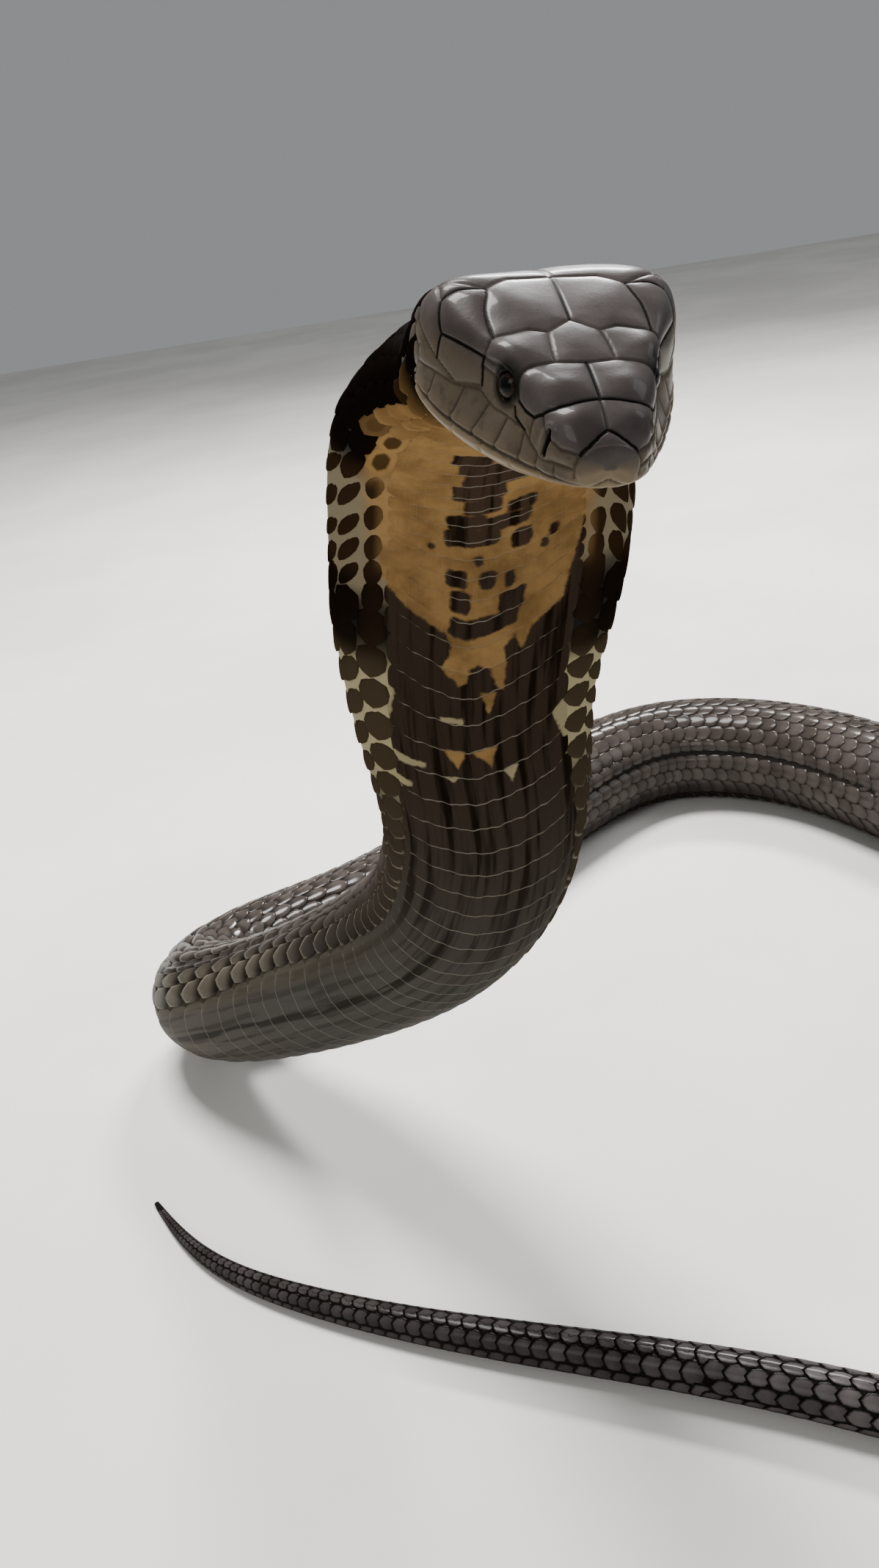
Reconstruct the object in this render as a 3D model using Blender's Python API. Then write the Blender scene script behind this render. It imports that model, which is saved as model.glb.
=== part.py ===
"""King cobra, life size, at rest with its hood raised.

The animal lies in one long S on the floor, turns in a tight bend at its left and rears up from there,
leaning forward over its raised neck with the mouth closed. Every length of the body follows one centreline,
laid out from a point on the floor in front of the head, in metres, with +Y away from the viewer and +Z up.
At the end the whole animal is moved so that the middle of its plan stands on the origin.
"""

import math

import bmesh
import bpy
import numpy as np
from mathutils import Vector

# Driving dimensions
HEAD_TIP = (0.0374, 0.2258, 0.3701)
HEAD_FORWARD = (0.080, -0.955, -0.285)
HEAD_UP = (0.146, -0.272, 0.951)
HEAD_LENGTH = 0.062
EYE_RADIUS = 0.0030
EYE_PLACE = (0.0120, -0.0222, 0.0066)
GAP = 0.0003
SHIELD_RISE = 0.00045
SHIELD_ROOT = 0.0014
SHIELD_SEAM = 0.00035
SHIELD_ROOT_SEAM = 0.4
SHIELD_CROWN = 1.6
LABIAL_GAP = 0.3
LABIAL_LOW = 0.668
SCUTE_RISE = 0.0006
SCUTE_FIRST = 0.0062
SCUTE_NECK = 0.0105
SCUTE_BODY = 0.0115
SCUTE_NECK_REACH = (0.04, 0.19)
SCUTE_BODY_REACH = (0.25, 0.50)
SCUTE_HALF_ANGLE = math.radians(50)
SCUTE_SIDE_FALL = 3.0
SCUTE_BEVEL = 0.0006
SNOUT_MIDDLE = 0.0008
NECK_START = 0.0456
NECK_INSIDE = 0.02
EYE_TILT = 0.25
EYE_MESH = (16, 10)
SOCKET_MESH = (20, 12)
NOSTRIL_MESH = (8, 6)
NOSTRIL_BACK = 7.5
NOSTRIL_KNOT = 0.49
NOSTRIL_RADIUS = 0.0009
TAIL_POINT = 0.001
CLEAR = 0.002
LYING_STEP = 0.017
FINE_LENGTH = 0.16
FINE_SIDES = 16
SHARP_ANGLE = math.radians(35)

# Stations along the centreline, from the back of the head to the tail:
# name, place, half width, half height, and the way the animal's back faces there
STATIONS = (
    ("occiput", (0.0310, 0.2865, 0.3858), 0.0255, 0.0145, (-0.050, -0.270, 0.950)),
    ("nape", (0.0270, 0.3085, 0.3780), 0.0318, 0.0150, (-0.030, 0.400, 0.880)),
    ("hood_top", (0.0242, 0.3350, 0.3610), 0.0390, 0.0155, (0.020, 0.880, 0.470)),
    ("hood_high", (0.0232, 0.3550, 0.3370), 0.0420, 0.0160, (0.020, 0.970, 0.250)),
    ("hood_mid", (0.0188, 0.3700, 0.3080), 0.0422, 0.0170, (0.000, 0.980, 0.200)),
    ("hood_low", (0.0144, 0.3860, 0.2700), 0.0378, 0.0200, (0.000, 0.970, 0.240)),
    ("neck", (0.0145, 0.4030, 0.2280), 0.0345, 0.0245, (0.00, 0.94, 0.34)),
    ("rise", (0.0060, 0.4280, 0.1850), 0.0340, 0.0285, (0.10, 0.85, 0.50)),
    ("bow", (-0.0170, 0.4690, 0.1400), 0.0330, 0.0305, (0.40, 0.72, 0.55)),
    ("fore", (-0.0540, 0.5150, 0.1000), 0.0320, 0.0310, (0.60, 0.62, 0.50)),
    ("fore_low", (-0.0920, 0.5550, 0.0690), 0.0312, 0.0305, (0.68, 0.58, 0.43)),
    ("bend_in", (-0.1250, 0.5850, 0.0500), 0.0305, 0.0300, (0.75, 0.38, 0.50)),
    ("bend", (-0.1430, 0.6220, 0.0360), 0.0300, 0.0298, (0.62, 0.05, 0.78)),
    ("bend_out", (-0.1240, 0.6550, 0.0305), 0.0305, 0.0302, (0.30, -0.10, 0.95)),
    ("rear", (-0.0780, 0.6740, 0.0312), 0.0318, 0.0314, (0.00, 0.00, 1.00)),
    ("behind", (-0.0050, 0.7220, 0.0318), 0.0335, 0.0328, (0.00, 0.00, 1.00)),
    ("behind_far", (0.0700, 0.7950, 0.0324), 0.0340, 0.0334, (0.00, 0.00, 1.00)),
    ("crest", (0.1550, 0.8460, 0.0326), 0.0345, 0.0336, (0.00, 0.00, 1.00)),
    ("crest_down", (0.2400, 0.8060, 0.0326), 0.0345, 0.0336, (0.00, 0.00, 1.00)),
    ("right", (0.2950, 0.7150, 0.0326), 0.0345, 0.0336, (0.00, 0.00, 1.00)),
    ("dip", (0.3780, 0.6180, 0.0322), 0.0342, 0.0332, (0.00, 0.00, 1.00)),
    ("dip_low", (0.5100, 0.5800, 0.0314), 0.0334, 0.0324, (0.00, 0.00, 1.00)),
    ("swell", (0.6400, 0.6350, 0.0304), 0.0322, 0.0314, (0.00, 0.00, 1.00)),
    ("swell_top", (0.7750, 0.6800, 0.0292), 0.0308, 0.0302, (0.00, 0.00, 1.00)),
    ("far", (0.8950, 0.6200, 0.0278), 0.0292, 0.0287, (0.00, 0.00, 1.00)),
    ("far_side", (0.9350, 0.4980, 0.0258), 0.0272, 0.0267, (0.00, 0.00, 1.00)),
    ("far_near", (0.8700, 0.3900, 0.0236), 0.0249, 0.0244, (0.00, 0.00, 1.00)),
    ("return", (0.7250, 0.3450, 0.0206), 0.0218, 0.0213, (0.00, 0.00, 1.00)),
    ("vent", (0.5600, 0.3430, 0.0172), 0.0182, 0.0178, (0.00, 0.00, 1.00)),
    ("tail_base", (0.4000, 0.3000, 0.0142), 0.0150, 0.0147, (0.00, 0.00, 1.00)),
    ("tail_front", (0.2400, 0.2690, 0.0117), 0.0123, 0.0121, (0.00, 0.00, 1.00)),
    ("tail", (0.0950, 0.3340, 0.0093), 0.0097, 0.0096, (0.00, 0.00, 1.00)),
    ("tail_mid", (-0.0120, 0.3800, 0.0073), 0.0077, 0.0076, (0.00, 0.00, 1.00)),
    ("tail_thin", (-0.0860, 0.4160, 0.0055), 0.0058, 0.0057, (0.00, 0.00, 1.00)),
    ("tail_fine", (-0.1360, 0.4540, 0.0036), 0.0038, 0.0038, (0.00, 0.00, 1.00)),
    ("tip", (-0.1645, 0.4980, 0.0012), 0.0012, 0.0012, (0.00, 0.00, 1.00)),
)

# The lengths of the body: node, first station, last station, sides, whether its belly scutes are raised
LENGTHS = (
    ("hood", "occiput", "hood_low", 24, True),
    ("neck", "hood_low", "bow", 24, True),
    ("fore_body", "bow", "bend_in", 24, True),
    ("body_bend", "bend_in", "rear", 24, False),
    ("body_behind", "rear", "behind_far", 18, False),
    ("body_crest", "behind_far", "right", 18, False),
    ("body_dip", "right", "swell", 18, False),
    ("body_swell", "swell", "far", 18, False),
    ("body_side", "far", "far_near", 18, False),
    ("body_return", "far_near", "vent", 18, False),
    ("tail_base", "vent", "tail_front", 16, False),
    ("tail_middle", "tail_front", "tail_mid", 14, False),
    ("tail_tip", "tail_mid", "tip", 12, False),
)

# The head from above and from the side, in millimetres: distance back from the snout, then the height of the
# middle of the crown, half width and height of the brow, of the cheek, of the lip and of the jaw, and the
# height of the middle of the throat
HEAD_SECTIONS = (
    (1.2, 4.2, 3.8, 3.4, 5.4, 1.0, 5.2, -1.5, 3.8, -3.0, -3.4),
    (4.0, 6.2, 6.0, 5.0, 7.8, 1.8, 7.8, -1.6, 6.4, -3.8, -4.6),
    (10.0, 9.0, 8.4, 7.4, 10.4, 2.8, 11.0, -2.0, 10.0, -5.4, -6.4),
    (16.0, 10.6, 10.8, 9.2, 12.6, 3.8, 14.1, -2.4, 13.1, -6.6, -8.0),
    (24.0, 12.4, 13.8, 11.2, 14.8, 4.6, 17.8, -2.6, 16.8, -7.3, -9.4),
    (33.0, 14.4, 17.0, 13.2, 20.0, 6.0, 21.8, -2.6, 20.4, -7.0, -9.8),
    (44.0, 16.4, 20.5, 15.8, 25.0, 6.6, 25.2, -1.8, 23.0, -6.4, -10.2),
    (53.0, 17.4, 22.0, 16.4, 25.6, 6.4, 25.0, -2.2, 22.4, -6.8, -10.6),
)
# Where those points lie on a half section, from the crown at 0 to the throat at 1
SECTION_KNOTS = (0.0, 0.28, 0.50, 0.655, 0.80, 1.0)
MOUTH_KNOT = 0.69
HEAD_RING = (0.0, 0.07, 0.14, 0.21, 0.28, 0.35, 0.42, 0.50, 0.57, 0.62, 0.665, 0.69, 0.715, 0.76, 0.82, 0.88,
             0.94, 1.0)
HEAD_STEPS = (0.15, 0.5, 1.2, 2.6, 4.5, 7.0, 10.0, 13.5, 17.0, 20.5, 24.0, 28.0, 32.0, 36.0, 40.0, 44.0, 48.0,
              52.0, 56.0, 59.0, 62.0)
MOUTH_DEPTH = 0.0006
MOUTH_FRONT = 1.2
MOUTH_CORNER = 50.0
MOUTH_FADE = 4.0

# Head shields: corners as distance back from the snout in millimetres and place on the half section
SHIELDS_PAIRED = {
    "internasal": ((4.3, 0.015), (9.0, 0.012), (8.7, 0.23), (9.8, 0.36), (4.6, 0.42)),
    "prefrontal": ((10.2, 0.012), (18.7, 0.012), (19.2, 0.13), (18.0, 0.33), (15.8, 0.42), (11.4, 0.38)),
    "supraocular": ((20.6, 0.125), (19.8, 0.27), (22.4, 0.315), (28.0, 0.355), (28.9, 0.26), (29.2, 0.09)),
    "parietal": ((32.6, 0.012), (30.6, 0.085), (30.1, 0.24), (37.0, 0.19), (42.4, 0.155), (46.2, 0.012)),
    "temporal_upper": ((30.0, 0.285), (37.6, 0.225), (42.4, 0.19), (42.4, 0.31), (38.2, 0.408), (29.2, 0.375)),
    "temporal_lower": ((28.9, 0.41), (38.0, 0.44), (37.8, 0.505), (33.0, 0.535), (28.4, 0.50)),
    "postocular_upper": ((25.7, 0.395), (27.8, 0.40), (27.8, 0.43), (25.6, 0.43)),
    "postocular_lower": ((25.4, 0.45), (27.8, 0.45), (27.2, 0.515), (24.8, 0.53)),
    "preocular": ((12.6, 0.455), (13.4, 0.515), (17.0, 0.505), (17.2, 0.455)),
    "nasal_front": ((3.2, 0.45), (2.8, 0.56), (6.5, 0.58), (6.4, 0.47)),
    "nasal_rear": ((8.9, 0.45), (8.9, 0.585), (11.6, 0.555), (11.4, 0.46)),
}
LABIAL_EDGES = (3.0, 7.4, 12.2, 17.0, 22.0, 27.0, 33.0, 40.0, 47.0)
LABIAL_TOP = (0.60, 0.61, 0.58, 0.55, 0.56, 0.55, 0.575, 0.58, 0.59)
FRONTAL = ((19.8, 0.0), (20.6, 0.085), (25.0, 0.070), (28.6, 0.055), (31.2, 0.0))
OCCIPITAL = ((47.8, 0.012), (44.0, 0.175), (48.2, 0.26), (53.2, 0.22), (56.0, 0.012))

COLOURS = {
    "head": ((0.115, 0.098, 0.090), 0.34),
    "eye": ((0.012, 0.008, 0.006), 0.08),
    "hood": ((0.230, 0.160, 0.070), 0.42),
    "body": ((0.070, 0.058, 0.050), 0.36),
    "tail": ((0.045, 0.040, 0.038), 0.40),
}


def clear_scene():
    """Remove whatever the open file holds."""
    for thing in list(bpy.data.objects):
        bpy.data.objects.remove(thing, do_unlink=True)


def unit(vector):
    """Return the vector at length one."""
    vector = np.asarray(vector, float)
    return vector / np.linalg.norm(vector, axis=-1, keepdims=True)


def material(name):
    """Make the plain finish of one kind of part."""
    finish = bpy.data.materials.get(name) or bpy.data.materials.new(name)
    finish.use_nodes = True
    colour, roughness = COLOURS[name]
    shader = finish.node_tree.nodes["Principled BSDF"]
    shader.inputs["Base Color"].default_value = (*colour, 1.0)
    shader.inputs["Roughness"].default_value = roughness
    shader.inputs["Metallic"].default_value = 0.0
    return finish


def natural_spline(knots, values, places):
    """Read a smooth curve through the values, with no bend at its two ends."""
    count = len(knots)
    step = np.diff(knots)
    matrix = np.eye(count)
    right = np.zeros_like(values)
    for i in range(1, count - 1):
        matrix[i, i - 1:i + 2] = step[i - 1], 2 * (step[i - 1] + step[i]), step[i]
        right[i] = 6 * ((values[i + 1] - values[i]) / step[i] - (values[i] - values[i - 1]) / step[i - 1])
    bend = np.linalg.solve(matrix, right)
    cell = np.clip(np.searchsorted(knots, places, side="right") - 1, 0, count - 2)
    width = step[cell][:, None]
    after = ((places - knots[cell])[:, None]) / width
    before = 1 - after
    curve = before * values[cell] + after * values[cell + 1]
    curve += ((before ** 3 - before) * bend[cell] + (after ** 3 - after) * bend[cell + 1]) * width ** 2 / 6
    return curve


def smoothed(values, width, passes=3):
    """Run a moving mean over rows of values, keeping the slope at both ends."""
    half = width // 2
    kernel = np.ones(width) / width
    for _ in range(passes):
        head = values[0] - (values[1] - values[0]) * np.arange(half, 0, -1)[:, None]
        tail = values[-1] + (values[-1] - values[-2]) * np.arange(1, half + 1)[:, None]
        padded = np.vstack((head, values, tail))
        values = np.column_stack([np.convolve(column, kernel, "valid") for column in padded.T])
    return values


class Centreline:
    """The line that the whole body follows, with its girth and the way its back faces."""

    SAMPLE = 0.002
    BLEND = 11

    def __init__(self):
        """Lay one smooth curve through the stations and measure it."""
        forward = unit(HEAD_FORWARD)
        places = np.array([row[1] for row in STATIONS])
        inside = places[0] + forward * NECK_INSIDE
        places = np.vstack((inside, places))
        sizes = np.array([row[2:4] for row in STATIONS])
        sizes = np.vstack((sizes[0], sizes))
        backs = unit(np.array([row[4] for row in STATIONS]))
        backs = np.vstack((backs[0], backs))
        knots = np.concatenate(([0.0], np.cumsum(np.linalg.norm(np.diff(places, axis=0), axis=1))))
        marks = np.arange(0.0, knots[-1], self.SAMPLE)
        marks = np.append(marks, knots[-1])
        curve = smoothed(natural_spline(knots, places, marks), self.BLEND)
        girth = np.column_stack([np.interp(marks, knots, column) for column in sizes.T])
        girth = smoothed(girth, self.BLEND)
        back = np.column_stack([np.interp(marks, knots, column) for column in backs.T])
        back = smoothed(back, self.BLEND)
        self.length = np.concatenate(([0.0], np.cumsum(np.linalg.norm(np.diff(curve, axis=0), axis=1))))
        self.curve = curve
        self.girth = girth
        self.back = back
        self.stations = {row[0]: np.interp(mark, marks, self.length) for row, mark in zip(STATIONS, knots[1:])}

    def at(self, distance):
        """Return place, direction, side, back and half sizes at a distance along the line."""
        def read(table, where):
            return np.array([np.interp(where, self.length, column) for column in table.T])
        place = read(self.curve, distance)
        reach = self.SAMPLE
        low = max(distance - reach, 0.0)
        high = min(distance + reach, self.length[-1])
        direction = unit(read(self.curve, high) - read(self.curve, low))
        back = read(self.back, distance)
        back = unit(back - direction * np.dot(back, direction))
        side = np.cross(direction, back)
        return place, direction, side, back, read(self.girth, distance)


def smooth_step(value, low, high):
    """Rise smoothly from 0 at low to 1 at high."""
    share = min(max((value - low) / (high - low), 0.0), 1.0)
    return share * share * (3 - 2 * share)


def scute_edges(start, end):
    """List the rear edges of the belly scutes, which grow longer down the neck."""
    edges = []
    place = start
    while place < end:
        place_length = SCUTE_FIRST + (SCUTE_NECK - SCUTE_FIRST) * smooth_step(place, *SCUTE_NECK_REACH)
        place += place_length + (SCUTE_BODY - SCUTE_NECK) * smooth_step(place, *SCUTE_BODY_REACH)
        edges.append(place)
    return edges


def ring(line, distance, sides, lift=0.0):
    """Return one cross section, its belly raised by the lift and flat where it meets the floor."""
    place, _, side, back, girth = line.at(distance)
    points = []
    for i in range(sides):
        angle = 2 * math.pi * (i + 0.5) / sides
        across = math.sin(angle) * girth[0]
        up = -math.cos(angle) * girth[1]
        point = place + side * across + back * up
        turn = min(angle, 2 * math.pi - angle) / SCUTE_HALF_ANGLE
        if lift and turn < 1.0:
            outward = unit(side * math.sin(angle) * girth[1] - back * math.cos(angle) * girth[0])
            point = point + outward * lift * min(1.0, SCUTE_SIDE_FALL * (1.0 - turn))
        points.append((point[0], point[1], max(point[2], 0.0)))
    return points


def loft(name, rings, finish, closed_front=None, closed_rear=None):
    """Skin a row of equal rings, closed by a flat face or by a point at each end."""
    mesh = bmesh.new()
    rows = [[mesh.verts.new(point) for point in points] for points in rings]
    count = len(rows[0])
    for near, far in zip(rows, rows[1:]):
        for i in range(count):
            j = (i + 1) % count
            mesh.faces.new((near[i], near[j], far[j], far[i]))
    for row, apex in ((rows[0], closed_front), (rows[-1], closed_rear)):
        if apex is None:
            mesh.faces.new(row)
            continue
        point = mesh.verts.new(apex)
        for i in range(count):
            mesh.faces.new((row[i], row[(i + 1) % count], point))
    bmesh.ops.recalc_face_normals(mesh, faces=mesh.faces)
    return add_object(name, mesh, finish)


def add_object(name, mesh, finish):
    """Turn a bmesh into a named object with its finish."""
    data = bpy.data.meshes.new(name)
    mesh.to_mesh(data)
    mesh.free()
    data.materials.append(material(finish))
    thing = bpy.data.objects.new(name, data)
    bpy.context.scene.collection.objects.link(thing)
    return thing


def body_rings(line, start, end, sides, raised):
    """List the sections of one length of the body."""
    if not raised:
        count = max(2, round((end - start) / LYING_STEP))
        if end - start < FINE_LENGTH and sides < FINE_SIDES:
            count *= 2
        return [ring(line, start + (end - start) * i / count, sides) for i in range(count + 1)]
    rings = [ring(line, start, sides)]
    root = line.stations["occiput"]
    before = root
    for edge in scute_edges(root, line.length[-1]):
        if edge > end - CLEAR:
            break
        if edge > start + CLEAR:
            first = before + SCUTE_BEVEL
            if first > start + SCUTE_BEVEL:
                rings.append(ring(line, first, sides))
            rings.append(ring(line, edge, sides, SCUTE_RISE))
        before = edge
    if end - before > 2 * SCUTE_BEVEL:
        rings.append(ring(line, before + SCUTE_BEVEL, sides))
    rings.append(ring(line, end, sides))
    return rings


def section_points(distance, knots):
    """Read the half section of the head at a distance back from the snout, in metres across and up."""
    table = np.array(HEAD_SECTIONS)
    row = natural_spline(table[:, 0], table[:, 1:], np.array([distance]))[0]
    across = np.array((0.0, row[1], row[3], row[5], row[7], 0.0))
    up = np.array((row[0], row[2], row[4], row[6], row[8], row[9]))
    places = np.array(SECTION_KNOTS)
    mirrored = np.concatenate((-places[1:][::-1], places, 2.0 - places[:-1][::-1]))
    wide = np.concatenate((-across[1:][::-1], across, -across[:-1][::-1]))
    high = np.concatenate((up[1:][::-1], up, up[:-1][::-1]))
    values = natural_spline(mirrored, np.column_stack((wide, high)), np.asarray(knots, float))
    return values / 1000.0


class Head:
    """The closed shape of the head, read at a distance back from the snout and a place on its half section."""

    def __init__(self, line):
        """Stand the head's own axes in place and note the neck that it runs into."""
        self.forward = unit(HEAD_FORWARD)
        up = np.array(HEAD_UP) - self.forward * np.dot(HEAD_UP, self.forward)
        self.up = unit(up)
        self.right = np.cross(self.forward, self.up)
        self.tip = np.array(HEAD_TIP)
        self.end = line.stations["occiput"]
        place, direction, side, back, girth = line.at(self.end)
        self.neck = (place, side, back, girth)
        self.direction = direction

    def world(self, local):
        """Take a point from the head's own axes to the floor's."""
        return self.tip + self.right * local[0] + self.forward * local[1] + self.up * local[2]

    def point(self, back, knot, side=1):
        """Return a point of the skin."""
        distance = back / 1000.0
        table_first = HEAD_SECTIONS[0][0] / 1000.0
        table_last = HEAD_SECTIONS[-1][0] / 1000.0
        across, up = section_points(min(max(distance, table_first), table_last) * 1000.0, (knot,))[0]
        if distance < table_first:
            scale = math.sqrt(max(0.0, 1.0 - (1.0 - distance / table_first) ** 2))
            across = across * scale
            up = SNOUT_MIDDLE + (up - SNOUT_MIDDLE) * scale
        local = np.array((side * across, -distance, up))
        skin = self.world(local)
        reach = (distance - NECK_START) / (HEAD_LENGTH - NECK_START)
        if reach > 0.0:
            place, neck_side, neck_back, girth = self.neck
            angle = math.pi * knot
            ring_point = place + neck_back * girth[1] * math.cos(angle)
            ring_point = ring_point - neck_side * girth[0] * math.sin(angle) * side
            start = place - self.direction * max(0.0, HEAD_LENGTH - distance)
            ring_point = ring_point - place + start
            share = reach * reach * (3 - 2 * reach)
            skin = skin * (1 - share) + ring_point * share
        return skin

    def normal(self, back, knot, side=1):
        """Return the outward direction of the skin."""
        along = self.point(back + 0.4, knot, side) - self.point(back - 0.4, knot, side)
        around = self.point(back, knot + 0.01, side) - self.point(back, knot - 0.01, side)
        outward = unit(np.cross(along, around))
        return outward if np.dot(outward, self.point(back, knot, side) - self.middle(back)) > 0 else -outward

    def middle(self, back):
        """Return the middle of the head's section."""
        return (self.point(back, 0.0) + self.point(back, 1.0)) / 2


def head_rings(head):
    """List the sections of the head from the snout to the occiput, with the line of the mouth drawn in."""
    rings = []
    for distance in HEAD_STEPS:
        depth = MOUTH_DEPTH * min(1.0, distance / MOUTH_FRONT)
        depth = depth * min(1.0, max(0.0, (MOUTH_CORNER - distance) / MOUTH_FADE))
        right = []
        left = []
        for knot in HEAD_RING:
            for side, row in ((1, right), (-1, left)):
                point = head.point(distance, knot, side)
                if knot == MOUTH_KNOT and depth > 0.0:
                    point = point + unit(head.middle(distance) - point) * depth
                row.append(tuple(point))
        rings.append(right + left[-2:0:-1])
    return rings


def shield(name, head, corners, side):
    """Raise one plate on the skin of the head, with its root sunk in."""
    outline = []
    middle = np.mean(np.array(corners), axis=0)
    for here, after in zip(corners, corners[1:] + corners[:1]):
        outline.append(np.array(here))
        outline.append((np.array(here) + np.array(after)) / 2)
    top = []
    root = []
    heart = head.point(middle[0], middle[1], side)
    for back, knot in outline:
        skin = head.point(back, abs(knot), side if knot >= 0 else -side)
        outward = head.normal(back, abs(knot), side if knot >= 0 else -side)
        inward = unit(heart - skin) * SHIELD_SEAM
        top.append(skin + inward + outward * SHIELD_RISE)
        root.append(skin + inward * SHIELD_ROOT_SEAM - outward * SHIELD_ROOT)
    outward = head.normal(middle[0], abs(middle[1]), side)
    mesh = bmesh.new()
    rows = [[mesh.verts.new(point) for point in row] for row in (root, top)]
    crown = mesh.verts.new(heart + outward * SHIELD_RISE * SHIELD_CROWN)
    floor = mesh.verts.new(heart - outward * SHIELD_ROOT)
    count = len(outline)
    for i in range(count):
        j = (i + 1) % count
        mesh.faces.new((rows[0][i], rows[0][j], rows[1][j]))
        mesh.faces.new((rows[0][i], rows[1][j], rows[1][i]))
        mesh.faces.new((rows[1][i], rows[1][j], crown))
        mesh.faces.new((rows[0][j], rows[0][i], floor))
    bmesh.ops.recalc_face_normals(mesh, faces=mesh.faces)
    return add_object(name, mesh, "head")


def ball(name, centre, radius, fineness, finish, axis):
    """Make a round ball whose poles lie on the given axis."""
    mesh = bmesh.new()
    bmesh.ops.create_uvsphere(mesh, u_segments=fineness[0], v_segments=fineness[1], radius=radius)
    turn = Vector((0, 0, 1)).rotation_difference(Vector(axis)).to_matrix()
    bmesh.ops.rotate(mesh, verts=mesh.verts, cent=(0, 0, 0), matrix=turn)
    bmesh.ops.translate(mesh, verts=mesh.verts, vec=centre)
    return add_object(name, mesh, finish)


def apply_boolean(target, operation, pieces):
    """Join the pieces to the target, or cut them from it, and remove them."""
    group = bpy.data.collections.new("pieces")
    for piece in pieces:
        group.objects.link(piece)
    step = target.modifiers.new("join", "BOOLEAN")
    step.operation = operation
    step.operand_type = "COLLECTION"
    step.collection = group
    step.solver = "EXACT"
    bpy.context.view_layer.update()
    evaluated = target.evaluated_get(bpy.context.evaluated_depsgraph_get())
    result = bpy.data.meshes.new_from_object(evaluated)
    target.modifiers.remove(step)
    target.data = result
    for piece in pieces:
        bpy.data.objects.remove(piece, do_unlink=True)
    bpy.data.collections.remove(group)


def keep_largest(target):
    """Keep the largest closed surface of an object."""
    mesh = bmesh.new()
    mesh.from_mesh(target.data)
    left = set(mesh.verts)
    groups = []
    while left:
        stack = [left.pop()]
        group = set(stack)
        while stack:
            for edge in stack.pop().link_edges:
                for vert in edge.verts:
                    if vert in left:
                        left.remove(vert)
                        group.add(vert)
                        stack.append(vert)
        groups.append(group)
    groups.sort(key=len)
    for group in groups[:-1]:
        bmesh.ops.delete(mesh, geom=list(group), context="VERTS")
    bmesh.ops.dissolve_degenerate(mesh, edges=mesh.edges, dist=0.00002)
    bmesh.ops.triangulate(mesh, faces=mesh.faces)
    mesh.to_mesh(target.data)
    mesh.free()


def build_head(line):
    """Model the head with its shields, mouth, nostrils and eyes."""
    head = Head(line)
    tip = tuple(head.point(0.0, 0.0))
    skull = loft("head", head_rings(head), "head", closed_front=tip)
    plates = []
    for side in (1, -1):
        for name, corners in SHIELDS_PAIRED.items():
            plates.append(shield(name, head, corners, side))
        for i in range(len(LABIAL_EDGES) - 1):
            front = LABIAL_EDGES[i] + LABIAL_GAP
            rear = LABIAL_EDGES[i + 1] - LABIAL_GAP
            top, next_top = LABIAL_TOP[i:i + 2]
            corners = ((front, top), (front, LABIAL_LOW), (rear, LABIAL_LOW), (rear, next_top))
            plates.append(shield("labial", head, corners, side))
        plates.append(shield("occipital", head, OCCIPITAL, side))
    mirrored = tuple((back, -knot) for back, knot in FRONTAL[-2:0:-1])
    plates.append(shield("frontal", head, FRONTAL + mirrored, 1))
    apply_boolean(skull, "UNION", plates)
    cutters = []
    for side, name in ((1, "eye_right"), (-1, "eye_left")):
        local = np.array((side * EYE_PLACE[0], EYE_PLACE[1], EYE_PLACE[2]))
        outward = unit(head.right * side + head.up * EYE_TILT + head.forward * EYE_TILT)
        centre = head.world(local)
        cutters.append(ball("socket", centre, EYE_RADIUS + GAP, SOCKET_MESH, "head", outward))
        ball(name, centre, EYE_RADIUS, EYE_MESH, "eye", outward)
        nostril = head.point(NOSTRIL_BACK, NOSTRIL_KNOT, side)
        cutters.append(ball("nostril", nostril, NOSTRIL_RADIUS, NOSTRIL_MESH, "head", outward))
    apply_boolean(skull, "DIFFERENCE", cutters)
    keep_largest(skull)
    return skull


def build_body(line):
    """Model every length of the body and the tail, with a thin cut between each two."""
    last = LENGTHS[-1][0]
    for name, first, final, sides, raised in LENGTHS:
        start = line.stations[first] + GAP
        end = line.stations[final]
        finish = "tail" if name.startswith("tail") else "hood" if name == "hood" else "body"
        apex = None
        if name == last:
            end = line.length[-1] - TAIL_POINT
            apex = tuple(line.at(line.length[-1])[0])
        loft(name, body_rings(line, start, end, sides, raised), finish, closed_rear=apex)


def stand_on_origin():
    """Move the animal so that the middle of its plan stands on the origin, on the floor."""
    points = np.array([corner.co[:] for thing in bpy.data.objects for corner in thing.data.vertices])
    low = points.min(axis=0)
    high = points.max(axis=0)
    shift = Vector((-(low[0] + high[0]) / 2, -(low[1] + high[1]) / 2, -low[2]))
    for thing in bpy.data.objects:
        for corner in thing.data.vertices:
            corner.co += shift


def finish_shading():
    """Shade round surfaces smooth and keep the steps crisp."""
    for thing in bpy.data.objects:
        thing.data.shade_smooth()
        thing.data.set_sharp_from_angle(angle=SHARP_ANGLE)


clear_scene()
CENTRELINE = Centreline()
build_head(CENTRELINE)
build_body(CENTRELINE)
stand_on_origin()
finish_shading()
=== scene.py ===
"""A king cobra at rest with its hood raised, life size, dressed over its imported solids."""

import math

import bpy
import numpy as np
from mathutils import Matrix, Vector
from mathutils.kdtree import KDTree


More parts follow.
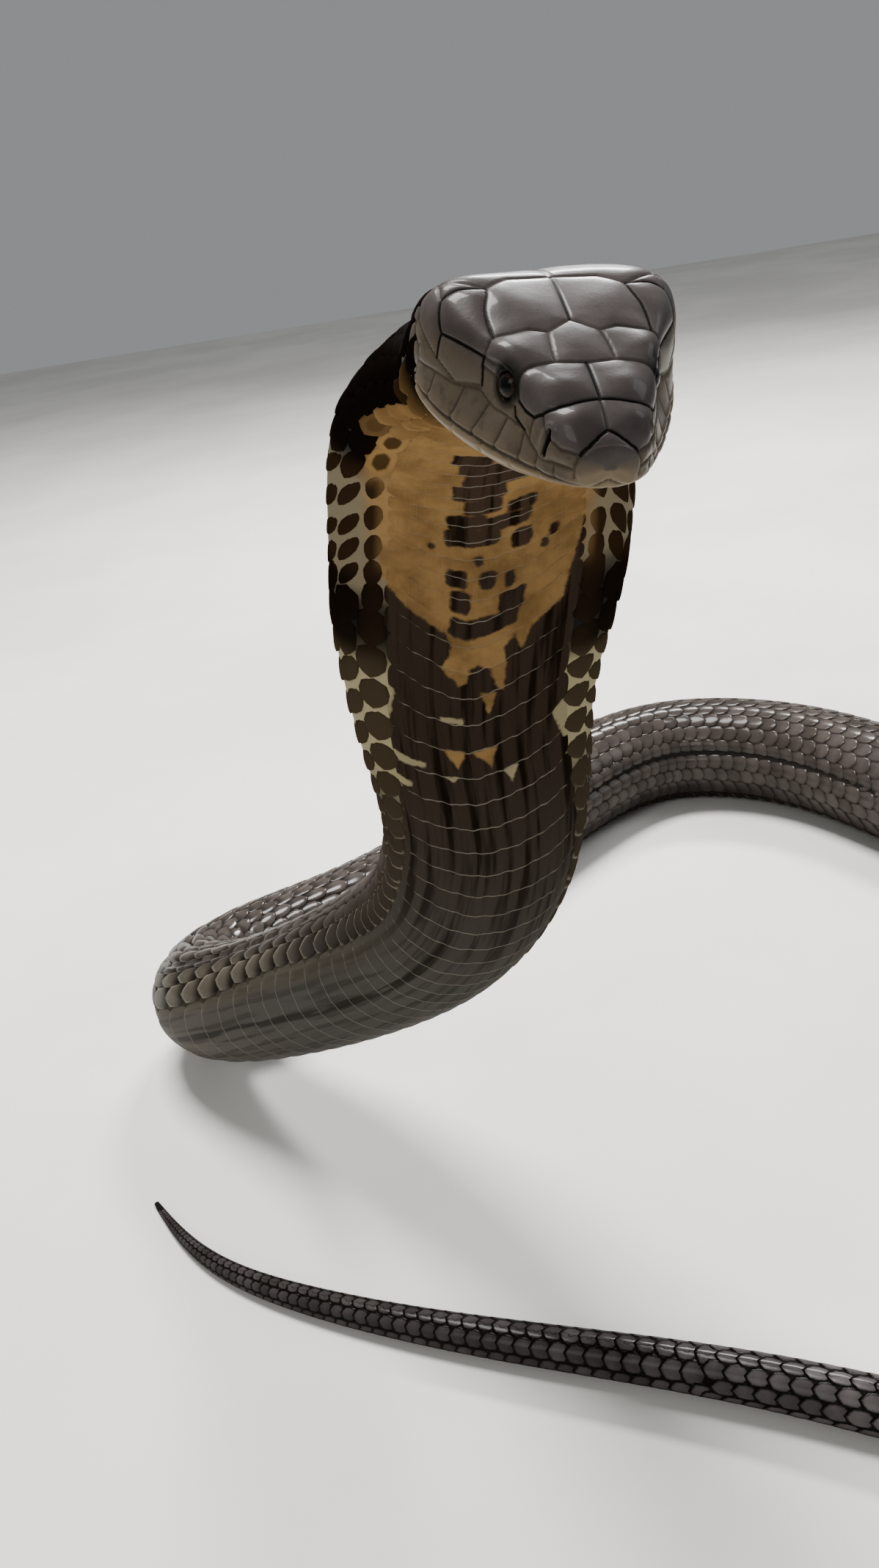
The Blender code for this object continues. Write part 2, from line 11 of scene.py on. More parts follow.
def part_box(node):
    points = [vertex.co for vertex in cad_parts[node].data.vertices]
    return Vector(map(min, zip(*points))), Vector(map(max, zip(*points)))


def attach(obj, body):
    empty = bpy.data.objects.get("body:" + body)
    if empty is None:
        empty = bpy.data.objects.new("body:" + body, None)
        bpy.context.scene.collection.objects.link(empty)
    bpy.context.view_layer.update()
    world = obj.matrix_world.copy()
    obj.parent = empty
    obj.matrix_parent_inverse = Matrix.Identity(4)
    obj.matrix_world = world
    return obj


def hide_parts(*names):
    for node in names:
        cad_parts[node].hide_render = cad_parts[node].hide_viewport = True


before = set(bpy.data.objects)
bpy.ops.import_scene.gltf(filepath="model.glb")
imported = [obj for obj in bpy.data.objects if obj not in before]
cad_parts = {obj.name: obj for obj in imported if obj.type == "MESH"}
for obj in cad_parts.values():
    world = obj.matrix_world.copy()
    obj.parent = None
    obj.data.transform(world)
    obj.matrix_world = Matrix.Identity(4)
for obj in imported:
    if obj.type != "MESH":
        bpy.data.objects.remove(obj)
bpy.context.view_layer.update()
bpy.ops.object.select_all(action="DESELECT")


# The animal's line.
# The real body is one tapering tube, head to tail, lying in a long S and rearing up out of a tight bend. Each
# station is a place on its middle line, half its width and height, and the way its back faces unless that is up.
HEAD_TIP = (0.0374, 0.2258, 0.3701)
HEAD_FORWARD = (0.080, -0.955, -0.285)
HEAD_UP = (0.146, -0.272, 0.951)
HEAD_LENGTH = 62.0
EYE_PLACE = (0.0120, -0.0222, 0.0066)
LEVEL = (0.0, 0.0, 1.0)
STATIONS = (
    (0.031, 0.2865, 0.3858, 0.0255, 0.0145, -0.05, -0.27, 0.95),
    (0.027, 0.3085, 0.378, 0.0318, 0.015, -0.03, 0.4, 0.88),
    (0.0242, 0.335, 0.361, 0.039, 0.0155, 0.02, 0.88, 0.47),
    (0.0232, 0.355, 0.337, 0.042, 0.016, 0.02, 0.97, 0.25),
    (0.0188, 0.37, 0.308, 0.0422, 0.017, 0.0, 0.98, 0.2),
    (0.0144, 0.386, 0.27, 0.0378, 0.02, 0.0, 0.97, 0.24),
    (0.0145, 0.403, 0.228, 0.0345, 0.0245, 0.0, 0.94, 0.34),
    (0.006, 0.428, 0.185, 0.034, 0.0285, 0.1, 0.85, 0.5),
    (-0.017, 0.469, 0.14, 0.033, 0.0305, 0.4, 0.72, 0.55),
    (-0.054, 0.515, 0.1, 0.032, 0.031, 0.6, 0.62, 0.5),
    (-0.092, 0.555, 0.069, 0.0312, 0.0305, 0.68, 0.58, 0.43),
    (-0.125, 0.585, 0.05, 0.0305, 0.03, 0.75, 0.38, 0.5),
    (-0.143, 0.622, 0.036, 0.03, 0.0298, 0.62, 0.05, 0.78),
    (-0.124, 0.655, 0.0305, 0.0305, 0.0302, 0.3, -0.1, 0.95),
    (-0.078, 0.674, 0.0312, 0.0318, 0.0314),
    (-0.005, 0.722, 0.0318, 0.0335, 0.0328),
    (0.07, 0.795, 0.0324, 0.034, 0.0334),
    (0.155, 0.846, 0.0326, 0.0345, 0.0336),
    (0.24, 0.806, 0.0326, 0.0345, 0.0336),
    (0.295, 0.715, 0.0326, 0.0345, 0.0336),
    (0.378, 0.618, 0.0322, 0.0342, 0.0332),
    (0.51, 0.58, 0.0314, 0.0334, 0.0324),
    (0.64, 0.635, 0.0304, 0.0322, 0.0314),
    (0.775, 0.68, 0.0292, 0.0308, 0.0302),
    (0.895, 0.62, 0.0278, 0.0292, 0.0287),
    (0.935, 0.498, 0.0258, 0.0272, 0.0267),
    (0.87, 0.39, 0.0236, 0.0249, 0.0244),
    (0.725, 0.345, 0.0206, 0.0218, 0.0213),
    (0.56, 0.343, 0.0172, 0.0182, 0.0178),
    (0.4, 0.3, 0.0142, 0.015, 0.0147),
    (0.24, 0.269, 0.0117, 0.0123, 0.0121),
    (0.095, 0.334, 0.0093, 0.0097, 0.0096),
    (-0.012, 0.38, 0.0073, 0.0077, 0.0076),
    (-0.086, 0.416, 0.0055, 0.0058, 0.0057),
    (-0.136, 0.454, 0.0036, 0.0038, 0.0038),
    (-0.1645, 0.498, 0.0012, 0.0012, 0.0012),
)
# How far the line runs on ahead of its first station, inside the head
LEAD_IN = 0.02
LINE_STEP = 0.002
LINE_BLEND = 11


def unit(vector):
    """Return vectors at length one."""
    vector = np.asarray(vector, float)
    return vector / np.maximum(np.linalg.norm(vector, axis=-1, keepdims=True), 1e-12)


def bell(value, reach):
    """Return a smooth hump of height one over zero."""
    return np.exp(-(value / reach) ** 2)


def step_up(value, low, high, *more):
    """Rise smoothly from 0 at low to 1 at high, or fall where low is the larger, and again for more ends."""
    share = np.clip((value - low) / (high - low), 0, 1)
    share = share * share * (3 - 2 * share)
    return share * step_up(value, *more) if more else share


def run_lengths(points):
    """Return the distance along a path at each of its points."""
    return np.concatenate(([0.0], np.cumsum(np.linalg.norm(np.diff(points, axis=0), axis=1))))


def natural_spline(knots, values, places):
    """Read a smooth curve through the values, with no bend at its two ends."""
    count = len(knots)
    step = np.diff(knots)
    matrix = np.eye(count)
    right = np.zeros_like(values)
    for i in range(1, count - 1):
        matrix[i, i - 1:i + 2] = step[i - 1], 2 * (step[i - 1] + step[i]), step[i]
        right[i] = 6 * ((values[i + 1] - values[i]) / step[i] - (values[i] - values[i - 1]) / step[i - 1])
    bend = np.linalg.solve(matrix, right)
    cell = np.clip(np.searchsorted(knots, places, side="right") - 1, 0, count - 2)
    width = step[cell][:, None]
    after = ((places - knots[cell])[:, None]) / width
    before = 1 - after
    curve = before * values[cell] + after * values[cell + 1]
    curve += ((before ** 3 - before) * bend[cell] + (after ** 3 - after) * bend[cell + 1]) * width ** 2 / 6
    return curve


def smoothed(values, width=LINE_BLEND, passes=3):
    """Run a moving mean over rows of values, keeping the slope at both ends."""
    half = width // 2
    kernel = np.ones(width) / width
    for _ in range(passes):
        head = values[0] - (values[1] - values[0]) * np.arange(half, 0, -1)[:, None]
        tail = values[-1] + (values[-1] - values[-2]) * np.arange(1, half + 1)[:, None]
        padded = np.vstack((head, values, tail))
        values = np.column_stack([np.convolve(column, kernel, "valid") for column in padded.T])
    return values


class Line:
    """The middle line of the body, with its girth and the way its back faces."""

    def __init__(self, shift):
        """Lay one smooth curve through the stations and measure it."""
        table = np.array([row if len(row) == 8 else row + LEVEL for row in STATIONS])
        table = np.vstack((table[:1], table))
        places = table[:, :3] + shift
        places[0] += unit(HEAD_FORWARD) * LEAD_IN
        knots = run_lengths(places)
        marks = np.append(np.arange(0.0, knots[-1], LINE_STEP), knots[-1])
        self.curve = smoothed(natural_spline(knots, places, marks))
        self.girth, self.back = (
            smoothed(np.column_stack([np.interp(marks, knots, column) for column in values.T]))
            for values in (table[:, 3:5], unit(table[:, 5:])))
        self.length = run_lengths(self.curve)
        self.end = self.length[-1]
        self.neck = np.interp(knots[1], marks, self.length)

    def read(self, table, where):
        """Read one column table at distances along the line."""
        return np.stack([np.interp(where, self.length, column) for column in table.T], -1)

    def at(self, distance):
        """Return place, direction, side, back and half sizes at distances along the line."""
        distance = np.asarray(distance, float)
        ahead = self.read(self.curve, np.minimum(distance + LINE_STEP, self.end))
        behind = self.read(self.curve, np.maximum(distance - LINE_STEP, 0.0))
        direction = unit(ahead - behind)
        back = self.read(self.back, distance)
        back = unit(back - direction * (back * direction).sum(-1, keepdims=True))
        side = np.cross(direction, back)
        return self.read(self.curve, distance), direction, side, back, self.read(self.girth, distance)


head_forward = unit(HEAD_FORWARD)
head_up = unit(np.array(HEAD_UP) - head_forward * np.dot(HEAD_UP, head_forward))
head_right = np.cross(head_forward, head_up)
eye_low, eye_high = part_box("eye_right")
planned_eye = HEAD_TIP + head_right * EYE_PLACE[0] + head_forward * EYE_PLACE[1] + head_up * EYE_PLACE[2]
plan_shift = np.array((eye_low + eye_high) / 2) - planned_eye
plan_shift[2] = 0.0
head_tip = np.array(HEAD_TIP) + plan_shift
line = Line(plan_shift)


# The hide.
# One skin runs from the lips over the hood and the long body to the tail, bare between the scales. On the head it
# is cast into smooth shields with dark seams, round the mouth line, the nostrils and the eyes.
BELLY_SHARE = 0.285
NECK_SPREAD = 0.060
# Half sections of the head, in millimetres: distance back, height of the crown, four pairs of half width and
# height down the side, height of the throat
HEAD_SECTIONS = (
    (1.2, 4.2, 3.8, 3.4, 5.4, 1.0, 5.2, -1.5, 3.8, -3.0, -3.4),
    (4.0, 6.2, 6.0, 5.0, 7.8, 1.8, 7.8, -1.6, 6.4, -3.8, -4.6),
    (10.0, 9.0, 8.4, 7.4, 10.4, 2.8, 11.0, -2.0, 10.0, -5.4, -6.4),
    (16.0, 10.6, 10.8, 9.2, 12.6, 3.8, 14.1, -2.4, 13.1, -6.6, -8.0),
    (24.0, 12.4, 13.8, 11.2, 14.8, 4.6, 17.8, -2.6, 16.8, -7.3, -9.4),
    (33.0, 14.4, 17.0, 13.2, 20.0, 6.0, 21.8, -2.6, 20.4, -7.0, -9.8),
    (44.0, 16.4, 20.5, 15.8, 25.0, 6.6, 25.2, -1.8, 23.0, -6.4, -10.2),
    (53.0, 17.4, 22.0, 16.4, 25.6, 6.4, 25.0, -2.2, 22.4, -6.8, -10.6),
)
SECTION_KNOTS = (0.0, 0.28, 0.50, 0.655, 0.80, 1.0)
SNOUT_MIDDLE = 0.8
NECK_START = 45.6
AROUND_HEAD = 288
ALONG_HEAD = 228
AROUND_BODY = 48
BODY_STEP = 0.006

# Seams between the head shields: distance back from the snout in millimetres, and place on the half section,
# from the crown at 0 to the throat at 1. The first group is dark, the second only a soft valley
DARK_SEAMS = (
    ((9.5, 0.0), (19.2, 0.0)), ((32.0, 0.0), (47.0, 0.0)),
    ((3.5, 0.0), (2.2, 0.13), (1.6, 0.24), (1.5, 0.40)),
    ((9.5, 0.0), (9.1, 0.17), (9.5, 0.27), (10.5, 0.37), (12.0, 0.44)),
    ((12.0, 0.44), (14.4, 0.452), (16.8, 0.44)),
    ((28.8, 0.257), (32.5, 0.235), (36.5, 0.210), (40.0, 0.180), (42.6, 0.165)),
    ((42.6, 0.165), (43.4, 0.24), (42.9, 0.323), (38.6, 0.427), (28.3, 0.392)),
    ((38.6, 0.427), (38.7, 0.517)), ((28.3, 0.392), (28.4, 0.44), (27.7, 0.515)),
    ((17.6, 0.485), (16.8, 0.52), (13.6, 0.54)),
)
SEAMS = (
    ((3.5, 0.0), (9.5, 0.0)), ((47.0, 0.0), (56.5, 0.0)), ((1.5, 0.40), (1.7, 0.56), (1.8, 0.66)),
    ((1.5, 0.40), (4.2, 0.475), (7.3, 0.46), (9.6, 0.41), (10.5, 0.37)),
    ((12.0, 0.44), (12.2, 0.50), (12.0, 0.57)), ((16.8, 0.44), (18.0, 0.36), (19.2, 0.22), (19.8, 0.10)),
    ((19.2, 0.0), (19.8, 0.10), (25.0, 0.082), (28.5, 0.070), (32.0, 0.0)),
    ((16.8, 0.44), (18.6, 0.375), (20.2, 0.345), (22.2, 0.335), (24.2, 0.35), (25.8, 0.385), (28.3, 0.392)),
    ((28.5, 0.070), (29.6, 0.12), (28.9, 0.18), (28.8, 0.257), (28.0, 0.32), (28.3, 0.392)),
    ((42.6, 0.165), (46.0, 0.10), (47.0, 0.0)), ((42.9, 0.323), (48.0, 0.28)), ((24.8, 0.44), (28.4, 0.44)),
    ((42.6, 0.165), (48.0, 0.28), (53.5, 0.24), (56.5, 0.12), (56.5, 0.0)),
    ((38.7, 0.517), (33.1, 0.555), (27.7, 0.515)), ((48.0, 0.28), (49.0, 0.36), (46.5, 0.45), (38.7, 0.517)),
    ((1.8, 0.585), (5.0, 0.60), (8.3, 0.625), (12.0, 0.57), (13.6, 0.54), (18.6, 0.545), (22.8, 0.555),
     (25.0, 0.55), (27.7, 0.53), (33.1, 0.56), (38.7, 0.56), (46.0, 0.575), (50.0, 0.62)),
    ((5.2, 0.60), (5.0, 0.72)), ((9.4, 0.62), (9.2, 0.70)), ((13.6, 0.54), (13.4, 0.69)),
    ((18.8, 0.545), (19.4, 0.69)), ((24.8, 0.55), (25.8, 0.685)), ((31.0, 0.55), (32.4, 0.68)),
    ((38.7, 0.56), (40.6, 0.68)), ((2.6, 0.88), (5.5, 0.82), (12.0, 0.80), (24.0, 0.79), (38.0, 0.78), (50.0, 0.75)),
    ((8.4, 0.73), (8.6, 0.81)), ((15.0, 0.71), (15.4, 0.795)), ((22.6, 0.70), (23.4, 0.79)),
    ((31.0, 0.70), (32.0, 0.785)), ((2.6, 0.88), (2.2, 1.0)), ((2.2, 1.0), (12.0, 1.0), (24.0, 1.0)),
    ((12.4, 0.80), (13.4, 0.92), (13.0, 1.0)), ((22.0, 0.79), (24.4, 0.92), (24.0, 1.0)),
)
MOUTH = ((50.0, 0.665), (44.0, 0.675), (36.0, 0.682), (28.0, 0.686), (16.0, 0.695), (8.0, 0.715), (4.0, 0.75),
         (2.0, 0.79), (1.0, 0.85), (0.45, 0.92), (0.25, 1.0))
NOSTRIL = ((7.4, 0.42), (7.2, 0.50), (7.5, 0.575))
# How far back the shields reach, at places on the half section
PLATED = ((0.14, 56.5), (0.26, 51.0), (0.34, 48.8), (0.45, 46.8), (0.53, 44.0), (0.66, 50.0), (0.76, 46.0),
          (0.80, 26.0), (1.0, 24.0))
# Swellings of the shields: distance back, place on the half section, reach along and around, height
SWELLS = (
    (24.2, 0.235, 3.4, 0.075, 0.75), (13.6, 0.150, 2.7, 0.085, 0.60), (6.3, 0.190, 1.8, 0.120, 0.50),
    (37.5, 0.105, 5.0, 0.060, 0.40), (25.0, 0.0, 3.6, 0.050, 0.22), (22.3, 0.335, 3.4, 0.035, 0.75),
    (35.0, 0.315, 4.0, 0.055, 0.25), (33.0, 0.475, 3.6, 0.045, 0.25),
)
HEAD_SCALE_LENGTH = 4.6
HEAD_SCALE_WIDTH = 3.6
HALF_SECTION = 46.0


def head_surface(back, knot, side):
    """Return points of the head's skin at distances back from the snout and places on the half section."""
    back, knot, side = np.broadcast_arrays(np.asarray(back, float), np.asarray(knot, float), side)
    table = np.array(HEAD_SECTIONS)
    first, last = table[0, 0], table[-1, 0]
    places = np.array(SECTION_KNOTS)
    mirrored = np.concatenate((-places[1:][::-1], places, 2.0 - places[:-1][::-1]))
    row = natural_spline(table[:, 0], table[:, 1:], np.clip(back.ravel(), first, last))
    zero = np.zeros((len(row), 1))
    across, height = np.hstack((zero, row[:, 1:8:2], zero)), row[:, (0, 2, 4, 6, 8, 9)]
    basis = natural_spline(mirrored, np.eye(len(mirrored)), knot.ravel())
    wide, high = (
        (basis * np.hstack((part[:, :0:-1] * flip, part, part[:, -2::-1] * flip))).sum(1).reshape(back.shape)
        for part, flip in ((across, -1), (height, 1)))
    round_off = np.where(back < first, np.sqrt(np.clip(1 - (1 - back / first) ** 2, 0, 1)), 1.0)
    wide = wide * round_off
    high = SNOUT_MIDDLE + (high - SNOUT_MIDDLE) * round_off
    skin = head_tip + (head_right * (side * wide)[..., None] - head_forward * back[..., None]
                       + head_up * high[..., None]) / 1000.0
    place, direction, neck_side, neck_back, girth = line.at(line.neck)
    share = step_up(back, NECK_START, HEAD_LENGTH)[..., None]
    angle = math.pi * knot[..., None]
    ring = place - direction * np.maximum(0, HEAD_LENGTH - back)[..., None] / 1000.0
    ring = ring + neck_back * girth[1] * np.cos(angle) - neck_side * girth[0] * np.sin(angle) * side[..., None]
    return skin * (1 - share) + ring * share


def head_normal(back, knot, side):
    """Return the outward directions of the head's skin."""
    along = head_surface(back + 0.3, knot, side) - head_surface(np.maximum(back - 0.3, 0.02), knot, side)
    around = head_surface(back, knot + 0.008, side) - head_surface(back, knot - 0.008, side)
    outward = unit(np.cross(along, around))
    middle = (head_surface(back, 0.0, side) + head_surface(back, 1.0, side)) / 2
    away = ((head_surface(back, knot, side) - middle) * outward).sum(-1, keepdims=True)
    return outward * np.where(away < 0, -1.0, 1.0)


# Angles at equal shares of the half girth, for sections from flat to round
ASPECTS = np.linspace(0.3, 1.1, 41)
SHARES = np.linspace(0.0, 1.0, 181)


def angle_row(aspect):
    """List the angles at equal shares of the half girth, for one section."""
    angle = np.linspace(0.0, math.pi, 1441)
    step = np.hypot(np.diff(np.sin(angle)), np.diff(np.cos(angle)) * aspect)
    arc = np.concatenate(([0.0], np.cumsum(step)))
    return np.interp(SHARES, arc / arc[-1], angle)


ANGLES = np.array([angle_row(aspect) for aspect in ASPECTS])


def round_angle(share, aspect):
    """Return the angle from the belly's middle at a signed share of the half girth."""
    across = np.clip((aspect - ASPECTS[0]) / (ASPECTS[1] - ASPECTS[0]), 0, len(ASPECTS) - 1.001)
    along = np.clip(np.abs(share), 0, 1) * (len(SHARES) - 1.001)
    i, j = across.astype(int), along.astype(int)
    u, v = across - i, along - j
    angle = (ANGLES[i, j] * (1 - u) + ANGLES[i + 1, j] * u) * (1 - v)
    angle = angle + (ANGLES[i, j + 1] * (1 - u) + ANGLES[i + 1, j + 1] * u) * v
    return angle * np.sign(share)


def half_girth(girth):
    """Return half the way round a section."""
    wide, high = girth[..., 0], girth[..., 1]
    return math.pi * (3 * (wide + high) - np.sqrt((3 * wide + high) * (wide + 3 * high))) / 2


# Folds of loose skin: first and last distance along the body, share of the half girth at both, depth, reach
FOLDS = (
    (0.66, 2.40, 0.575, 0.640, 0.0026, 0.024),
    (0.66, 2.40, -0.575, -0.640, 0.0020, 0.024),
    (0.34, 0.62, -0.600, -0.540, 0.0024, 0.020),
    (0.38, 0.62, -0.740, -0.720, 0.0018, 0.020),
    (0.40, 0.62, -0.860, -0.880, 0.0014, 0.018),
)


def fold(distance, share):
    """Return how far the loose skin sinks in along the flank, and how deep in a fold each place lies."""
    sink, depth = np.zeros(np.shape(distance)), np.zeros(np.shape(distance))
    for first, last, start, end, deep, reach in FOLDS:
        middle = start + (end - start) * np.clip((distance - first) / (0.45 * (last - first)), 0, 1)
        window = step_up(distance, first, first + 0.08, last, last - 0.06)
        crease = window * bell(share - middle, reach)
        sink -= deep * crease
        depth = np.maximum(depth, crease)
    return sink, depth


def hide(distance, share, lift=0.0, floor=0.0008):
    """Return points over the skin, at distances along the body and signed shares of the half girth."""
    distance, share, lift = np.broadcast_arrays(np.asarray(distance, float), share, lift)
    place, _, side, back, girth = line.at(distance)
    angle = round_angle(share, girth[..., 1] / girth[..., 0])[..., None]
    across, up = np.sin(angle), -np.cos(angle)
    outward = unit(side * across * girth[..., 1:2] + back * up * girth[..., 0:1])
    raised = (lift + fold(distance, share)[0])[..., None]
    point = place + side * across * girth[..., 0:1] + back * up * girth[..., 1:2] + outward * raised
    near = distance < line.neck
    if near.any():
        knot = 1 - np.abs(angle[..., 0]) / math.pi
        back_mm = np.maximum(HEAD_LENGTH - (line.neck - distance) * 1000.0, 1.0)
        turn = np.where(share < 0, 1.0, -1.0)
        spot = back_mm[near], knot[near], turn[near]
        point[near] = head_surface(*spot) + head_normal(*spot) * lift[near][..., None]
    point[..., 2] = np.maximum(point[..., 2], floor)
    return point


def within(polygon, x, y):
    """Return how far points lie inside a closed outline, negative outside."""
    best, found = np.full(np.shape(x), 1e9), np.zeros(np.shape(x), bool)
    for (ax, ay), (bx, by) in zip(polygon, polygon[1:] + polygon[:1]):
        run = max((bx - ax) ** 2 + (by - ay) ** 2, 1e-9)
        share = np.clip(((x - ax) * (bx - ax) + (y - ay) * (by - ay)) / run, 0, 1)
        best = np.minimum(best, np.hypot(x - ax - share * (bx - ax), y - ay - share * (by - ay)))
        at = ax + (y - ay) * (bx - ax) / (by - ay if by != ay else 1e-9)
        found ^= ((ay > y) != (by > y)) & (x < at)
    return np.where(found, best, -best)


# Markings on the front of the hood, in millimetres: across the belly from its middle line, negative towards the
# animal's right, and along the body. A blotch is its left and right edge, front and rear
CORNER = 1.5
BELLY_REACH = 28.0
SCUTE_MIDDLE = -0.15
THROAT = ((-31, 8), (-30, 60), (-28.5, 119), (-20, 129), (-9.5, 137.5), (-8.5, 143), (-11.5, 149), (-6, 156),
          (-3.5, 155), (-3, 150), (-0.8, 148.5), (3, 150), (4.5, 156), (6.8, 158.5), (7.6, 150), (6.4, 142),
          (9.5, 137.5), (11.5, 143.5), (14, 135), (22, 126), (24, 112), (28, 80), (31, 8))
BLOTCHES = (
    (-11, -1, 53, 59.5), (-8.5, 6, 59, 65.5), (-7, 10, 65, 72.5), (-9.5, 4, 72, 80.5), (-6.5, 3.2, 80, 87.5),
    (4.6, 12, 80.5, 87), (-11, -0.5, 87.5, 95), (-2.5, 11, 88, 95), (-11.5, 3, 94.5, 102.5), (6, 11.5, 95.5, 103),
    (-3.6, -1, 105.5, 110.5), (-11, -5.2, 111.5, 119), (-1.8, 2.6, 112, 119.5), (5, 7.6, 112.5, 119.5),
    (-9.5, -4, 120, 129), (4, 11, 119.5, 128.5), (-9.5, 9.8, 130, 137.5), (16, 18.5, 96.5, 101.5),
    (14, 16.2, 101, 105.5), (-16, -14.2, 99.5, 102.5),
)
PALE_MARKS = (
    ((0.2, 158.5), (5.2, 158.5), (2.6, 167)), ((-12.5, 179), (-5, 181), (-8, 187.5)),
    ((-3, 182), (5, 179.5), (2, 189), (0.5, 186)),
)
CREAM_MARKS = (
    ((-12.5, 166.5), (-5, 168.5), (-5, 170), (-12, 169)), ((-29, 181), (-17.5, 185), (-17.5, 187), (-29, 185)),
    ((-30, 190), (-23, 193.5), (-23.5, 195.5), (-30, 194)), ((5.5, 189.5), (10.5, 189.5), (8, 196)),
    ((-13, 190), (-8, 190), (-10, 193)), ((22, 172), (29, 166), (29, 186), (26.5, 186)),
    ((-30, 152), (-25, 160), (-28, 172)),
)
MARK_LIMIT = 9
# How far the sides of a scute reach ahead of its middle, at distances along the body
VEE_PLACES = (0.0, 0.105, 0.135, 0.152, 0.175, 0.205)
VEE_DEPTHS = (0.0075, 0.0085, 0.0165, 0.0145, 0.0100, 0.0052)


def belly_share(distance):
    """Return the share of the half girth that the scutes cover, more on the neck than on the hood."""
    return BELLY_SHARE + NECK_SPREAD * step_up(distance, 0.17, 0.25, 0.54, 0.42)


def vee(distance, share):
    """Return how far forward the sides of a scute reach, against its middle."""
    depth = np.interp(distance, VEE_PLACES, VEE_DEPTHS)
    across = np.clip(share / belly_share(distance), -1.1, 1.1) - SCUTE_MIDDLE
    return depth * step_up(distance, -0.01, 0.06) * np.abs(across) ** 1.35


def markings(distance, share):
    """Return the signed reach, in millimetres, of the ochre and of the cream, at places on the hide."""
    along = distance * 1000.0
    across = share * half_girth(line.at(distance)[4]) * 1000.0
    ochre = within(THROAT, across, along)
    slant = 1000.0 * vee(distance, share)
    for left, right, top, bottom in BLOTCHES:
        centre = (left + right) / 2
        level = 1000.0 * vee(np.array((top + bottom) / 2000.0), np.array(centre * BELLY_SHARE / BELLY_REACH))
        reach_x = np.abs(across - centre) - (right - left) / 2 + CORNER
        reach_y = np.abs(along + slant - level - (top + bottom) / 2) - (bottom - top) / 2 + CORNER
        outside = np.hypot(np.maximum(reach_x, 0), np.maximum(reach_y, 0))
        ochre = np.minimum(ochre, outside + np.minimum(np.maximum(reach_x, reach_y), 0) - CORNER)
    for mark in PALE_MARKS:
        ochre = np.maximum(ochre, within(mark, across, along))
    cream = np.max([within(mark, across, along) for mark in CREAM_MARKS], axis=0)
    return np.clip(ochre, -MARK_LIMIT, MARK_LIMIT), np.clip(cream, -MARK_LIMIT, MARK_LIMIT)


def pale_skin(distance, share):
    """Return how pale the skin between the scales is."""
    along = distance * 1000.0
    flank = step_up(np.abs(share), 0.21, 0.25, 0.80, 0.62)
    right = step_up(along, 66, 76, 132, 122)
    left = step_up(along, 60, 72, 120, 112)
    lower = step_up(along, 146, 152, 640, 500) * (1 - 0.85 * step_up(along, 186, 212))
    lower = lower * (1 - 0.4 * step_up(along, 225, 300))
    return flank * np.maximum(np.where(share < 0, right, left), lower)


def add_object(name, data):
    """Add an object to the scene."""
    thing = bpy.data.objects.new(name, data)
    bpy.context.scene.collection.objects.link(thing)
    return thing


def lay_mesh(name, points, faces, fields, bake):
    """Make one object from its points and faces, with fields to paint by and a map to bake by."""
    data = bpy.data.meshes.new(name)
    data.from_pydata(points.tolist(), [], faces)
    for field, values in fields.items():
        data.attributes.new(field, "FLOAT", "POINT").data.foreach_set("value", values.astype(np.float32))
    corners = np.empty(len(data.loops), np.int32)
    data.loops.foreach_get("vertex_index", corners)
    data.uv_layers.new(name="OFBake").data.foreach_set("uv", bake[corners].astype(np.float32).ravel())
    data.shade_smooth()
    data.validate()
    return add_object(name, data)


def sampled(route, spacing=0.00015):
    """List the points of a seam closely, as distances back and places on the half section."""
    route = np.array(route)
    points = []
    for here, after in zip(route, route[1:]):
        count = max(2, int(np.hypot((after[0] - here[0]) / 1000.0, (after[1] - here[1]) * 0.045) / spacing))
        points.append(here + (after - here) * np.linspace(0, 1, count)[:, None])
    return np.vstack(points)


def nearest(routes, points):
    """Return the distance in millimetres from each point to the nearest of some lines on the head."""
    found = [sampled(route) for route in routes]
    spots = np.vstack([head_surface(row[:, 0], row[:, 1], side) for row in found for side in (1, -1)])
    tree = KDTree(len(spots))
    for i, spot in enumerate(spots):
        tree.insert(spot, i)
    tree.balance()
    return np.array([tree.find(point)[2] for point in points]) * 1000.0


def eye_centre(side):
    """Return the middle of an eye."""
    return head_tip + head_right * EYE_PLACE[0] * side + head_forward * EYE_PLACE[1] + head_up * EYE_PLACE[2]


def eye_axis(side):
    """Return the way an eye looks."""
    return unit(head_right * side + head_up * 0.28 + head_forward * 0.62)


# The relief of the head, in millimetres
EYE_OPENING = 2.5
EYE_SOCKET = 2.2
EYE_RIM = 0.16
PLATE_RISE = 0.30
CROWN_RISE = 0.05
GROOVE = 0.30
# What is pressed in or raised beside a line: its name, distance from it, reach, height
RELIEF = (("mouth", 0.0, 0.36, -0.40), ("mouth", 0.95, 0.6, 0.22), ("nostril", 0.0, 0.42, -1.3),
          ("nostril", 1.15, 0.5, 0.30))


def softened(values, passes):
    """Smooth values over the head's grid, round each ring and along the rows."""
    values = values.reshape(ALONG_HEAD, AROUND_HEAD)
    for _ in range(passes):
        values = (np.roll(values, 1, 1) + 2 * values + np.roll(values, -1, 1)) / 4
        padded = np.vstack((values[:1], values, values[-1:]))
        values = (padded[:-2] + 2 * values + padded[2:]) / 4
    return values.ravel()


def shield_limit(knot):
    """Return how far back the shields reach, at places on the half section."""
    return np.interp(knot, *np.transpose(PLATED))


